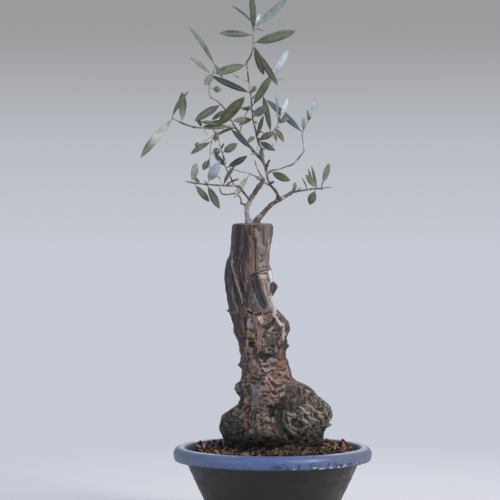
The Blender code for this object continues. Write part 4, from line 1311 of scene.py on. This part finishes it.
# %% Skin a stem
STEM_SIDES = 14
NODE_SPACING = 19.0          # mm between pairs of leaves on a shoot
OLD_GIRTH, YOUNG_GIRTH = 2.6, 0.9
BARK_OLD, BARK_DARK, BARK_PALE, BARK_YOUNG = "#5E5858", "#353133", "#A19C98", "#7C7872"
BARK_NEW = "#AAA79F"           # this year's growth
BARK_RED, SCAR_DARK, SHOOT_PALE = "#5A4038", "#2E2725", "#AFABAC"


def bark_tone(points, girth, seed):
    """Colours for stem points: old and dark where thick, pale and greenish where thin."""
    youth = 1 - ease(girth, YOUNG_GIRTH, OLD_GIRTH)
    blotch = rough(points, 9, seed + 1)
    return tint(painted(BARK_OLD, points.shape[:-1]), (BARK_YOUNG, youth * 0.75),
                (BARK_NEW, (1 - ease(girth, 0.72, 1.05)) * 0.85),
                (BARK_DARK, ease(blotch, 0.0, 0.55) * 0.85),
                (BARK_PALE, ease(-blotch, 0.2, 0.7) * 0.8),
                (BARK_RED, ease(rough(points, 6, seed + 4), 0.3, 0.7) * 0.5))


def skin_stem(line, seed):
    """Points and colours of a stem's skin, ending in a rounded tip."""
    tip, before = line[-1], line[-3]
    heading = (tip[:3] - before[:3]) / np.linalg.norm(tip[:3] - before[:3])
    caps = [np.r_[tip[:3] + heading * tip[3] * math.sin(a), tip[3] * math.cos(a)]
            for a in (0.5, 0.95, 1.35)]
    line = np.vstack([line, caps])
    along = distance_along(line)
    girth = line[:, 3].copy()
    spot = (along + 7 * seed) % NODE_SPACING
    line[:, 3] *= 1 + 0.22 * np.exp(-((spot - 9) / 1.5) ** 2) + 0.07 * noise(line[:, :3], 7, seed)
    points = tube(line, STEM_SIDES)
    middle_rows = line[:, None, :3]
    arms = (points - middle_rows) / np.maximum(line[:, 3], 0.05)[:, None, None]
    wrinkle = rough(points * np.array([1, 1, 0.45]), 2.6, seed + 7)
    height = 0.13 * girth[:, None] * wrinkle + 0.10 * girth[:, None] * ridges(points, 4, seed + 9)
    points = points + arms * height[..., None]
    colours = bark_tone(points, np.repeat(girth[:, None], STEM_SIDES, axis=1), seed)
    scar = np.exp(-((spot - 9) / 1.1) ** 2)[:, None] * np.ones(STEM_SIDES)
    return points, tint(colours, (SCAR_DARK, scar * 0.55))


# %% [markdown]
# **Young olive bark.**  A thin skin over growing wood, matt and fairly smooth.  It is mottled by
# dirt and by pores, which show as pale specks a millimetre or two apart.

# %% Young olive bark
def young_olive_bark():
    material, tree, shader, place = start_material("young_olive_bark", 0.66, 1.45)
    grain = add(tree, "TexNoise", {"Vector": place, "Scale": per_mm(1.6), "Detail": 6})
    specks = add(tree, "TexVoronoi", {"Vector": place, "Scale": per_mm(2.2)})
    dots = add(tree, "MapRange", (specks, 0.12, 0.3, 1.45, 1.0))
    shade = add(tree, "MapRange", (grain, 0.35, 0.65, 0.7, 1.25))
    both = add(tree, "Math", (shade, dots), operation="MULTIPLY")
    base = shaded_tone(tree, "bark_colour", both)
    bump = add(tree, "Bump", {"Height": grain, "Strength": 0.5, "Distance": 0.0004})
    plug(shader, {"Base Color": base, "Normal": bump})
    return material


# %% Skin the stems
stem_bark = young_olive_bark()
for seed, (node, host) in enumerate(HOSTS.items(), 100):
    points, colours = skin_stem(rooted(stem_lines[node], host), seed)
    if node == "shoot_left":
        colours = tint(colours, (SHOOT_PALE, (1 - ease(points[..., 2], 490, 502)) * 0.6))
    add_piece(f"{node}_bark", points, [stem_bark], "young_bark", [node], bark_colour=colours)

# %% [markdown]
# Besides the stems of the frame, a real shoot carries stubs of pruned twigs, thin side twigs and
# dry stalks.  Each is told by its host, how far along the host it grows, which way it goes in
# millimetres, and its girth at both ends.

# %% Side twigs and stubs
TWIGLETS = (   # host, share along it, x, y and z to its tip, girth at its base and tip
    ("shoot_left", 1.0, (-14, -2, 28), 1.3, 0.7), ("limb", 0.37, (5, -6, 14), 2.4, 1.6),
    ("leader", 0.82, (-29, -8, 14), 0.8, 0.5), ("shoot_left", 0.85, (-5, -4, 1), 1.4, 0.9),
    ("shoot_right", 0.63, (1, -4, 6), 1.2, 0.8), ("shoot_right", 0.67, (6, -3, 5), 1.1, 0.7),
    ("shoot_right", 1.0, (1, -1, 11), 1.1, 0.5), ("twig_low_left", 0.47, (18, -8, 9), 0.8, 1.7),
    ("twig_hang", 0.91, (9, -5, -12), 0.7, 0.5), ("limb", 0.90, (14, -4, 38), 1.0, 0.8),
    ("leader", 0.22, (-3, -5, -12), 0.9, 0.6), ("twig_centre_right", 0.90, (4, -4, -6), 0.7, 0.5),
    ("twig_centre_right", 0.72, (6, -3, 4), 0.7, 0.5), ("limb", 0.62, (-5, -6, -3), 1.6, 1.1),
    ("twig_centre_right", 0.45, (-1, -4, -8), 0.7, 0.4), ("limb", 0.2, (6, -5, 4), 1.9, 1.2),
    ("branch_left", 0.49, (8, -5, -12), 0.5, 0.35), ("branch_left", 0.73, (14, -6, -9), 0.5, 0.35),
    ("twig_hang", 0.45, (8, -4, -12), 0.5, 0.35), ("limb", 0.5, (4, 9, 6), 1.6, 1.0),
    ("leader", 0.4, (3, 10, 7), 0.9, 0.5), ("branch_left", 0.3, (-4, 8, 7), 0.9, 0.5),
    ("shoot_right", 0.4, (-3, 9, 5), 1.4, 0.9), ("twig_low_left", 0.7, (-6, 6, 7), 0.8, 0.5),
)


# %% Grow the side twigs
def row_at(host, share):
    """The row of a stem's line at a share of its length."""
    line = stem_lines[host]
    return line[round(share * (len(line) - 1))]


def curved_line(start, way, bend, step=1.0):
    """Points from a start along a way in millimetres, bowed sideways by bend."""
    way = np.asarray(way, float)
    side = np.cross(way, (0.2, 1, 0.1))
    side /= np.linalg.norm(side)
    shares = (0, 0.3, 0.65, 1)
    rows = [start + way * s + side * bend * 4 * s * (1 - s) for s in shares]
    return smooth_route(rows, step)


parts = []
for seed, (host, share, way, thick, thin) in enumerate(TWIGLETS, 200):
    line = curved_line(row_at(host, share)[:3], way, 0.06 * np.linalg.norm(way))
    points, colours = skin_stem(np.column_stack([line, np.linspace(thick, thin, len(line))]), seed)
    parts.append((points.reshape(-1, 3), tube_faces(len(points), STEM_SIDES), colours.reshape(-1, 4)))
add_joined("side_twigs", parts, [stem_bark], "young_bark", "bark_colour")

# %% [markdown]
# ## The leaves
#
# An olive leaf is a stiff, leathery blade like a lance head, dull grey-green above and silvery
# below, where tiny scales cover it.  Its margins roll under, the midrib is a groove above and a
# raised rib below, and the tip ends in a small point.  The frame gives each blade's course,
# width and which way it faces, and a finer blade is laid through those.

# %% Read a leaf
def leaf_course(node):
    """Rows of middle, side, face and half-width along a leaf, from its stalk to its tip."""
    rings = rings_of(node, 4)
    widths = [lengths(ring[:, None] - ring[None]).max() / 2 for ring in rings]
    if widths[1] > widths[-2]:
        rings, widths = rings[::-1], widths[::-1]
    widest = int(np.argmax(widths))
    ring = rings[widest]
    span = lengths(ring[:, None] - ring[None])
    a, b = np.unravel_index(span.argmax(), span.shape)
    side = (ring[b] - ring[a]) / span[a, b]
    middle = (ring[a] + ring[b]) / 2
    others = [ring[k] for k in range(4) if k not in (a, b)]
    near, far = sorted(others, key=lambda corner: np.linalg.norm(corner - middle))
    face = (near - far) / np.linalg.norm(near - far)
    rows = [None] * len(rings)
    for order in (range(widest, len(rings)), range(widest - 1, -1, -1)):
        run_side, run_face = side, face
        for k in order:
            ring = rings[k]
            across, up = ring @ run_side, ring @ run_face
            left, right = ring[across.argmin()], ring[across.argmax()]
            top, bottom = ring[up.argmax()], ring[up.argmin()]
            run_side = (right - left) / np.linalg.norm(right - left)
            run_face = (top - bottom) / np.linalg.norm(top - bottom)
            rows[k] = np.r_[(left + right) / 2, run_side, run_face,
                            np.linalg.norm(right - left) / 2]
    return np.array(rows)


# %% Lay a blade through a leaf's course
BLADE_ROWS = 34
ACROSS = np.array([-1, -0.86, -0.62, -0.36, -0.14, 0, 0.14, 0.36, 0.62, 0.86, 1.0])
SKIN = 0.22                  # half the thickness of a blade, mm


def blade(course, root, seed, curl=1.0):
    """Points of a blade with its stalk, and each point's place across and along it."""
    start = course[0].copy()
    start[:3] = root
    course = np.vstack([start, course])
    course = smooth_route(course, distance_along(course)[-1] / BLADE_ROWS)
    rows = len(course)
    along = np.linspace(0, 1, rows)
    half = np.maximum(course[:, 9], 0.12)
    half *= 1 + 0.05 * noise(np.column_stack([along * 5, along * 0, along * 0]), 1, seed)
    half *= 1 + 0.16 * ease(along, 0.5, 0.82) * (1 - ease(along, 0.94, 1.0))
    flat = ease(half, 0.8, 1.8)[:, None]
    fold = 0.10 + 0.14 * noise(np.array([[seed * 1.7, 0.3, 0.6]]), 1, seed)[0]
    v = ACROSS[None]
    wave = rough(np.dstack([np.repeat(along[:, None] * 4, len(ACROSS), 1),
                            np.repeat(v * 0.7, rows, 0), np.zeros((rows, len(ACROSS)))]), 1, seed)
    bend = (fold * np.abs(v) - 0.20 * curl * np.abs(v) ** 5) * half[:, None] + 0.35 * wave
    groove = 0.22 * np.exp(-(v / 0.11) ** 2)
    rib = 0.42 * np.exp(-(v / 0.13) ** 2) * (1 - 0.7 * along[:, None])
    round_stalk = 0.62 * np.sqrt(np.maximum(1 - v ** 2, 0))
    upper = flat * (bend + SKIN * np.sqrt(1 - v ** 6) - groove) + (1 - flat) * round_stalk
    lower = flat * (bend - SKIN * np.sqrt(1 - v ** 6) - rib) - (1 - flat) * round_stalk
    half = np.where(flat[:, 0] < 0.5, np.maximum(half, 0.55), half)
    half[-1] = 0.15

    def surface(v, lift):
        spread = (v * half[:, None])[..., None] * course[:, None, 3:6]
        return course[:, None, :3] + spread + lift[..., None] * course[:, None, 6:9]

    top = surface(np.repeat(v, rows, 0), upper)
    under = surface(np.repeat(v, rows, 0), lower)[:, -2:0:-1]
    points = np.concatenate([top, under], axis=1)
    place_across = np.repeat(np.c_[v, v[:, -2:0:-1]], rows, 0)
    place_along = np.repeat(along[:, None], points.shape[1], axis=1)
    return points, place_across, place_along


# %% [markdown]
# ** Leathery olive leaf.** The upper side is a tough, dull green skin with a faint waxy sheen and
# a paler midrib.  The underside is covered in star-shaped scales that scatter light, so it is pale,
# silvery and nearly matt.  Both take the leaf's own tone from its points.

# %% Leaf materials
def leaf_material(name, roughness, sheen, vein_hex, vein_share, mottle, bump_mm):
    material, tree, shader, place = start_material(name, roughness, 1.45)
    plug(shader, {"Sheen Weight": sheen, "Sheen Roughness": 0.5})
    across = add(tree, "Attribute", attribute_name="across")
    along = add(tree, "Attribute", attribute_name="along")
    width = add(tree, "Math", {0: across.outputs["Fac"]}, operation="ABSOLUTE")
    midrib = add(tree, "MapRange", (width, 0.05, 0.14, vein_share, 0.0))
    lean = add(tree, "Math", (width, -0.12, along.outputs["Fac"]), operation="MULTIPLY_ADD")
    comb = add(tree, "CombineXYZ", {"X": lean})
    veins = add(tree, "TexWave", {"Vector": comb, "Scale": 5.5, "Distortion": 1.5, "Detail": 2})
    fine = add(tree, "TexNoise", {"Vector": place, "Scale": per_mm(2.5), "Detail": 6, "Roughness": 0.6})
    shade = add(tree, "MapRange", (fine, 0.35, 0.65, 1 - mottle, 1 + mottle))
    faint = add(tree, "MapRange", (veins.outputs["Fac"], 0, 1, 0.96, 1.05))
    both = add(tree, "Math", (shade, faint), operation="MULTIPLY")
    skin = shaded_tone(tree, "leaf_colour", both)
    base = add(tree, "Mix", {0: midrib, 6: skin, 7: linear(vein_hex)}, data_type="RGBA")
    bump = add(tree, "Bump", {"Height": both, "Strength": 0.4, "Distance": bump_mm * MM})
    plug(shader, {"Base Color": base, "Normal": bump})
    return material


leaf_upper = leaf_material("leathery_olive_leaf", 0.56, 0.12, "#7E8A6E", 0.45, 0.17, 0.2)
leaf_under = leaf_material("scaly_leaf_underside", 0.76, 0.15, "#A9B2A8", 0.4, 0.09, 0.1)

# %% [markdown]
# No two leaves have the same tone.  Old ones are dark and olive, shaded ones are blue-green, and
# young ones are pale.  A third tone is for the outer half of a leaf that changes along its length.
# A leaf that isn't listed gets the usual pair of tones.

# %% Tones of the leaves, upper side and underside
USUAL_TONES = ("#4C5845", "#8B9892")
LEAF_TONES = {
    "leader_tip_1": ("#43523F", "#8E9A98"), "leader_tip_2": ("#5C6C6C", "#84928F"),
    "leader_tip_3": ("#4E5852", "#586360"), "leader_tip_4": ("#4F5D4A", "#96A392"),
    "leader_tip_5": ("#4A4B38", "#7D8476"), "leader_tip_6": ("#3B4138", "#74807E"),
    "twig_upper_right_1": ("#7F919C", "#A3B3BD"), "leader_1": ("#56634C", "#7F8E84"),
    "leader_2": ("#536048", "#8B9888"), "leader_3": ("#3A4236", "#707B78"),
    "leader_4": ("#5A6650", "#9AA69F"), "leader_5": ("#6C6F5B", "#9CA39A"),
    "leader_6": ("#5B6350", "#99A39D"), "leader_7": ("#6A5F48", "#8F8B7A"),
    "twig_centre_right_1": ("#777C76", "#A9B0AF"), "twig_zigzag_1": ("#606B60", "#727E74"),
    "twig_zigzag_2": ("#74796A", "#858B7C"), "twig_zigzag_3": ("#3F4A3F", "#76827F"),
    "branch_left_1": ("#5E6B5A", "#84908A", "#5A6654"),
    "branch_left_2": ("#7D8C80", "#A3B1AE", "#5D6858"), "branch_left_3": ("#4E543A", "#8B917C"),
    "branch_left_4": ("#3C4C50", "#7E8E96"), "twig_cluster_1": ("#6F715D", "#9DA195"),
    "twig_cluster_2": ("#3B4138", "#6D7775"), "twig_hang_2": ("#3A5054", "#74888D"),
    "twig_low_left_1": ("#6F8680", "#7F938F", "#A9B8C4"), "twig_low_left_2": ("#6D705C", "#9A9F92"),
    "twig_low_left_3": ("#5B5D50", "#90948A"), "twig_low_left_4": ("#575A4E", "#8C9086"),
    "branch_back_1": ("#6A6D5A", "#A0A499"), "twig_right_1": ("#566644", "#9DA998"),
    "sprig_right_1": ("#42565C", "#7F929B"), "sprig_right_2": ("#7E9A9C", "#A9BFC4"),
    "shoot_right_1": ("#626E5B", "#A0ADA6"), "shoot_right_2": ("#626E5B", "#A0ADA6"),
    "shoot_right_3": ("#5E604D", "#95998B"),
}


# %% Colour a leaf and add it
DRY_TIP, DARK_FOOT = "#6B6A50", "#3A3A2E"


def leaf_colours(points, upper_columns, tones, seed):
    """A colour for each point of a leaf: blotched, darker at the foot and dry at the tip."""
    colours = np.zeros(points.shape[:-1] + (4,))
    colours[:, :upper_columns] = linear(tones[0])
    colours[:, upper_columns:] = linear(tones[1])
    blotch = rough(points, 11, seed + 20)
    along = np.linspace(0, 1, len(points))[:, None] * np.ones(points.shape[1])
    if len(tones) > 2:
        colours = tint(colours, (tones[2], ease(along, 0.35, 0.75)))
    colours = tint(colours * (1 + 0.35 * blotch[..., None]), (DRY_TIP, ease(along, 0.9, 1.0) * 0.5),
                   (DARK_FOOT, (1 - ease(along, 0.06, 0.2)) * 0.45))
    colours[..., 3] = 1
    return np.clip(colours, 0.002, 1)


def add_leaf(name, course, root, tones, seed, stands_for=(), curl=1.0):
    """Adds one leaf with its stalk running into its twig."""
    points, across, along = blade(course, root, seed, curl)
    columns = points.shape[1]
    faces = tube_faces(len(points), columns)
    second = [face[0] % columns >= len(ACROSS) - 1 for face in faces[:-2]] + [0, 0]
    add_piece(name, points, [leaf_upper, leaf_under], "leaf", stands_for, faces, second,
              leaf_colour=leaf_colours(points, len(ACROSS), tones, seed), across=across, along=along)


leaf_nodes = sorted(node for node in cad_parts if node.startswith("leaf_"))
for seed, node in enumerate(leaf_nodes, 300):
    course = leaf_course(node)
    host = max((name for name in HOSTS if node.startswith(f"leaf_{name}_")), key=len)
    root = nearest_row(stem_lines[host], course[0])[:3]
    tones = LEAF_TONES.get(node.removeprefix("leaf_"), USUAL_TONES)
    add_leaf(f"{node}_blade", course, root, tones, seed, [node])
print(len(leaf_nodes), "leaves laid through the frame's")

# %% [markdown]
# The frame leaves out buds and leaves too small to matter for it, but they fill the gaps between
# the large leaves.  Each one is told by its host, its share along the host, its way in
# millimetres, its width and its tone.

# %% Small leaves and buds
DARK, GREEN, GREY = ("#3F473B", "#636E68"), ("#55634A", "#84917F"), ("#6A736A", "#8B9591")
PALE, WHITE, OLIVE = ("#97A8B0", "#A9B8C0"), ("#C9D2D4", "#CDD6D9"), ("#74775C", "#8D917C")
TEAL, BROWN, MIST = ("#3B5154", "#738A90"), ("#5E543F", "#8A8370"), ("#7F9496", "#A8BABF")
SMALL_LEAVES = (
    ("leader_tip", 0.77, (-35, -8, 30), 4.5, DARK), ("leader_tip", 0.80, (7, -4, 15), 5.3, WHITE),
    ("leader_tip", 0.71, (14, -6, -4), 2.3, GREY), ("twig_upper_right", 0.92, (29, -6, 5), 4.5, PALE),
    ("twig_zigzag", 0.86, (-12, -12, -18), 11, GREY), ("twig_zigzag", 1.0, (12, -5, -21), 6, GREY),
    ("branch_left", 1.0, (25, -8, 39), 7.6, GREEN), ("twig_zigzag", 0.07, (-42, -12, -6), 5, DARK),
    ("leader", 0.55, (-17, -6, 1), 5.8, GREEN), ("twig_hang", 0.02, (6, -6, -16), 4.5, GREEN),
    ("twig_cluster", 1.0, (-4, -5, -17), 5, BROWN), ("twig_cluster", 0.94, (-8, -6, -9), 6, BROWN),
    ("twig_cluster", 0.35, (-16, -8, 19), 7.6, DARK), ("twig_cluster", 0.58, (4, -5, -11), 3, TEAL),
    ("twig_cluster", 0.55, (5, -7, -13), 3, MIST), ("twig_cluster", 0.67, (4, -5, 9), 3, TEAL),
    ("twig_low_left", 0.50, (18, -9, 29), 7.6, GREY), ("branch_back", 0.46, (12, -6, -8), 6, MIST),
    ("leader", 0.27, (10, -9, 34), 6.8, DARK), ("twig_centre_right", 0.96, (17, -6, 7), 9.8, GREY),
    ("twig_centre_right", 1.0, (14, -5, 38), 6.8, WHITE), ("sprig_right", 0.60, (1, -6, 20), 6.4, MIST),
    ("sprig_right", 0.85, (4, -4, 5), 3, TEAL), ("sprig_right", 0.82, (-1, -5, 18), 4.8, GREEN),
    ("shoot_right", 0.94, (-9, -8, 35), 4.5, GREEN), ("shoot_right", 1.0, (16, -5, 2), 2.7, MIST),
    ("shoot_right", 0.81, (-8, -4, 18), 2.7, GREY), ("shoot_right", 0.91, (-10, -6, 31), 3.8, GREEN),
    ("twig_centre_right", 0.93, (6, -5, 18), 3, MIST), ("twig_centre_right", 0.98, (-2, -5, 50), 4.5, PALE),
    ("branch_left", 0.03, (-42, -14, -2), 9, GREEN), ("branch_left", 0.15, (-34, -16, 6), 8, DARK),
    ("limb", 0.98, (-30, 4, -12), 7, GREEN), ("twig_zigzag", 0.25, (-20, -12, -16), 7, DARK),
    ("twig_centre_right", 0.8, (12, -10, -22), 8, GREEN), ("leader", 0.45, (-22, 12, -8), 8, OLIVE),
    ("limb", 0.49, (-3, -8, 17), 6, GREY), ("leader", 0.34, (13, -6, -4), 3, GREY),
    ("leader", 0.27, (9, -5, -4), 3, DARK), ("leader", 0.15, (6, -5, -3), 3, GREEN),
    ("leader", 0.54, (7, -5, -4), 3, TEAL), ("leader", 0.7, (8, 22, 14), 7, GREEN),
    ("limb", 0.75, (10, 26, 12), 8, GREEN), ("branch_left", 0.5, (-8, 24, 16), 7, DARK),
    ("shoot_right", 0.6, (6, 24, 16), 7, GREY), ("twig_low_left", 0.8, (-10, 20, 10), 6, OLIVE),
)


# %% Grow the small leaves
def small_course(start, way, width, turn):
    """A course like a frame leaf's, for a small leaf that goes a given way."""
    way = np.asarray(way, float)
    length = np.linalg.norm(way)
    heading = way / length
    face = np.array([0, -1, 0.35]) - heading * heading.dot([0, -1, 0.35])
    face /= np.linalg.norm(face)
    side = np.cross(heading, face)
    face, side = (face * math.cos(turn) + side * math.sin(turn),
                  side * math.cos(turn) - face * math.sin(turn))
    rows = []
    for share in (0, 0.1, 0.2, 0.35, 0.5, 0.65, 0.8, 0.92, 1.0):
        spread = math.sin(math.pi * min(max((share - 0.08) / 0.92, 0), 1) ** 0.9) ** 0.75
        middle = start + way * share + face * 0.10 * length * 4 * share * (1 - share)
        rows.append(np.r_[middle, side, face, max(0.35, width / 2 * spread)])
    return np.array(rows)


for number, (host, share, way, width, tones) in enumerate(SMALL_LEAVES, 1):
    start = row_at(host, share)[:3]
    course = small_course(start, way, width, draw.uniform(-0.5, 0.5))
    add_leaf(f"small_leaf_{number}", course, start - np.array([0, -0.1, 0]), tones, 400 + number,
             curl=0.6)
print(len(SMALL_LEAVES), "small leaves")

# %% [markdown]
# ## The olives
#
# A few unripe fruits hang among the leaves.  A young olive is a hard green egg on a thin stalk,
# with a small dry tip where the flower was.  Its skin is smooth and waxy, with fine pale dots.

# %% Unripe olive skin
SKIN_DOTS = "#A9B58A"


def unripe_olive_skin():
    material, tree, shader, place = start_material("unripe_olive_skin", 0.38, 1.45)
    colour = add(tree, "Attribute", attribute_name="fruit_colour")
    dots = add(tree, "TexVoronoi", {"Vector": place, "Scale": per_mm(1.3)})
    pale = add(tree, "MapRange", (dots, 0.1, 0.28, 0.5, 0.0))
    base = add(tree, "Mix", {0: pale, 6: colour, 7: linear(SKIN_DOTS)}, data_type="RGBA")
    bloom = add(tree, "TexNoise", {"Vector": place, "Scale": per_mm(4), "Detail": 4})
    matt = add(tree, "MapRange", (bloom, 0.35, 0.65, 0.3, 0.5))
    bump = add(tree, "Bump", {"Height": bloom, "Strength": 0.3, "Distance": 0.0003})
    plug(shader, {"Base Color": base, "Roughness": matt, "Normal": bump})
    return material


# %% Shape a fruit on its stalk
FRUIT_SIDES = 28
FRUIT_BLUSH, STALK_GREEN, TIP_BROWN = "#79885A", "#7B7F5A", "#4A3A2A"


def add_fruit(name, root, start, end, radius, skin_hex, seed, stands_for=()):
    """Adds an olive from start to end, on a stalk from its root."""
    heading = (end - start) / np.linalg.norm(end - start)
    stalk = curved_line(root, start - root + heading * 0.6, 0.5, 0.7)
    stalk = np.column_stack([stalk, np.full(len(stalk), 0.5)])
    dimple = np.r_[start + heading * 0.9, 0.5]
    shares = (1 - np.cos(np.linspace(0.12, math.pi, 26))) / 2
    body = [np.r_[start + (end - start) * s, radius * max(math.sin(math.pi * s), 0) ** 0.55 + 0.08]
            for s in shares]
    tip = [np.r_[end + heading * 0.5, 0.2], np.r_[end + heading * 0.9, 0.05]]
    line = np.vstack([stalk[:-2], dimple, body, tip])
    points = tube(line, FRUIT_SIDES)
    bump = 1 + 0.03 * noise(points, 4, seed)[..., None]
    points = line[:, None, :3] + (points - line[:, None, :3]) * bump
    colours = tint(painted(skin_hex, points.shape[:-1]),
                   (FRUIT_BLUSH, ease(rough(points, 5, seed), 0.0, 0.6) * 0.4))
    colours[:len(stalk) - 2] = linear(STALK_GREEN)
    colours[-3:] = linear(TIP_BROWN)
    add_piece(name, points, [fruit_skin], "fruit", stands_for, fruit_colour=colours)


# %% Hang the fruits
fruit_skin = unripe_olive_skin()
FRUITLET_GREEN = "#52663F"
OLIVE_HOSTS = {"olive_zigzag": ("twig_zigzag", "#5A6E44"), "olive_cluster": ("twig_cluster", "#3F5C3B"),
               "olive_hang": ("twig_hang", "#556B46")}
for seed, (node, (host, skin_hex)) in enumerate(OLIVE_HOSTS.items(), 500):
    line = middle_line(node)
    roots = [nearest_row(stem_lines[host], line[end])[:3] for end in (0, -1)]
    if np.linalg.norm(roots[0] - line[0, :3]) > np.linalg.norm(roots[1] - line[-1, :3]):
        line, roots = line[::-1], roots[::-1]
    girth = line[:, 3].max()
    add_fruit(f"{node}_fruit", roots[0], line[1, :3], line[-1, :3], girth, skin_hex, seed, [node])
    print(node, "is", round(2 * girth, 1), "mm across")

FRUITLETS = (   # host, share along it, x, y and z to its middle, diameter
    ("leader", 0.60, (-4, -8, -6), 6.0), ("leader", 0.32, (4, -8, 4), 5.8),
    ("leader", 0.44, (4, -7, -3), 3.6), ("twig_centre_right", 1.0, (1, -7, 3), 4.5),
)
for number, (host, share, way, across) in enumerate(FRUITLETS, 1):
    root = row_at(host, share)[:3]
    way = np.array(way, float)
    heading = way / np.linalg.norm(way)
    add_fruit(f"fruitlet_{number}", root, root + way - heading * across * 0.62,
              root + way + heading * across * 0.62, across / 2, FRUITLET_GREEN, 520 + number)
print(len(OLIVE_HOSTS), "olives and", len(FRUITLETS), "fruitlets")

# %% [markdown]
# ## Floor and light
#
# The tree stands on a plain pale floor.  A floor has an edge, and an edge behind the tree would
# draw the eye, so this one fades out a metre away and leaves only the backdrop colour.

# %% Lay the floor
FLOOR_HALF = 5.0             # metres
FADE_START, FADE_END = 0.35, 1.3      # metres from the middle
FLOOR_GREY = "#D9DBE0"

floor_mesh = bpy.data.meshes.new("floor")
corners = [(x * FLOOR_HALF, y * FLOOR_HALF, 0) for x, y in ((-1, -1), (1, -1), (1, 1), (-1, 1))]
floor_mesh.from_pydata(corners, [], [(0, 1, 2, 3)])
floor = bpy.data.objects.new("floor", floor_mesh)
scene.collection.objects.link(floor)
floor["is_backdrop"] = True

paint, tree, shader, place = start_material("pale_matt_paint", 0.9, 1.5)
plug(shader, {"Base Color": linear(FLOOR_GREY)})
away = add(tree, "VectorMath", {0: place}, operation="LENGTH")
fade = add(tree, "MapRange", (away, FADE_START, FADE_END), interpolation_type="SMOOTHSTEP")
mixed = add(tree, "MixShader", {0: fade, 1: shader, 2: add(tree, "BsdfTransparent")})
plug(tree.nodes["Material Output"], {"Surface": mixed})
floor_mesh.materials.append(paint)
print("floor", 2 * FLOOR_HALF, "m wide")

# %% [markdown]
# A dome of soft light, a little darker just above the horizon, stands in for open shade.  A wide
# lamp high on the right gives the bark and the rim their form, and a weak one on the left keeps
# the dark side readable.  Wide lamps give soft shadows.

# %% Light the tree
DOME = ((0.0, "#C4CBD7"), (0.5, "#C6CAD4"), (0.53, "#B8BBC2"), (0.56, "#9B9C9E"),
        (0.62, "#8F9299"), (1.0, "#A9AEB8"))       # place from straight down to straight up

world = bpy.data.worlds.new("open_shade")
world.use_nodes = True
scene.world = world
tree = world.node_tree
tree.nodes.clear()
parts = add(tree, "SeparateXYZ", {0: add(tree, "TexCoord").outputs["Generated"]})
height = add(tree, "MapRange", (parts.outputs["Z"], -1.0, 1))
ramp = add(tree, "ValToRGB", {"Fac": height})
stops = ramp.color_ramp.elements
for number, (place, hex_colour) in enumerate(DOME):
    stop = stops[number] if number < 2 else stops.new(place)
    stop.position = place
    stop.color = linear(hex_colour)
add(tree, "OutputWorld", {"Surface": add(tree, "Background", {"Color": ramp, "Strength": 1.0})})
print("a dome of", len(stops), "colours")


# %% Hang the lamps
LOOK_AT = (-0.03, 0, 0.35)   # the middle of the trunk


def add_lamp(name, place, size, watts, hex_colour):
    """A square area lamp that looks at the middle of the trunk."""
    lamp = bpy.data.lights.new(name, "AREA")
    lamp.size = size
    lamp.energy = watts
    lamp.color = linear(hex_colour)[:3]
    holder = bpy.data.objects.new(name, lamp)
    holder.location = place
    look = Vector(LOOK_AT) - Vector(place)
    holder.rotation_euler = look.to_track_quat("-Z", "Y").to_euler()
    scene.collection.objects.link(holder)


add_lamp("key_lamp", (1.7, -1.5, 1.9), 1.2, 62, "#FFF6EC")
add_lamp("fill_lamp", (-1.8, -1.4, 0.9), 1.6, 14, "#E4ECFF")
add_lamp("back_lamp", (0.2, 2.2, 1.5), 1.6, 24, "#F2F5FF")
scene.view_settings.view_transform = "Standard"
print("lit by", len(bpy.data.lights), "lamps and the dome")

# %% Measure and finish
low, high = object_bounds()
over = [round(gap / MM, 1) for gap in (*(frame_low - low), *(high - frame_high))]
print("mm outside the frame, low x, y, z and high x, y, z:", over)
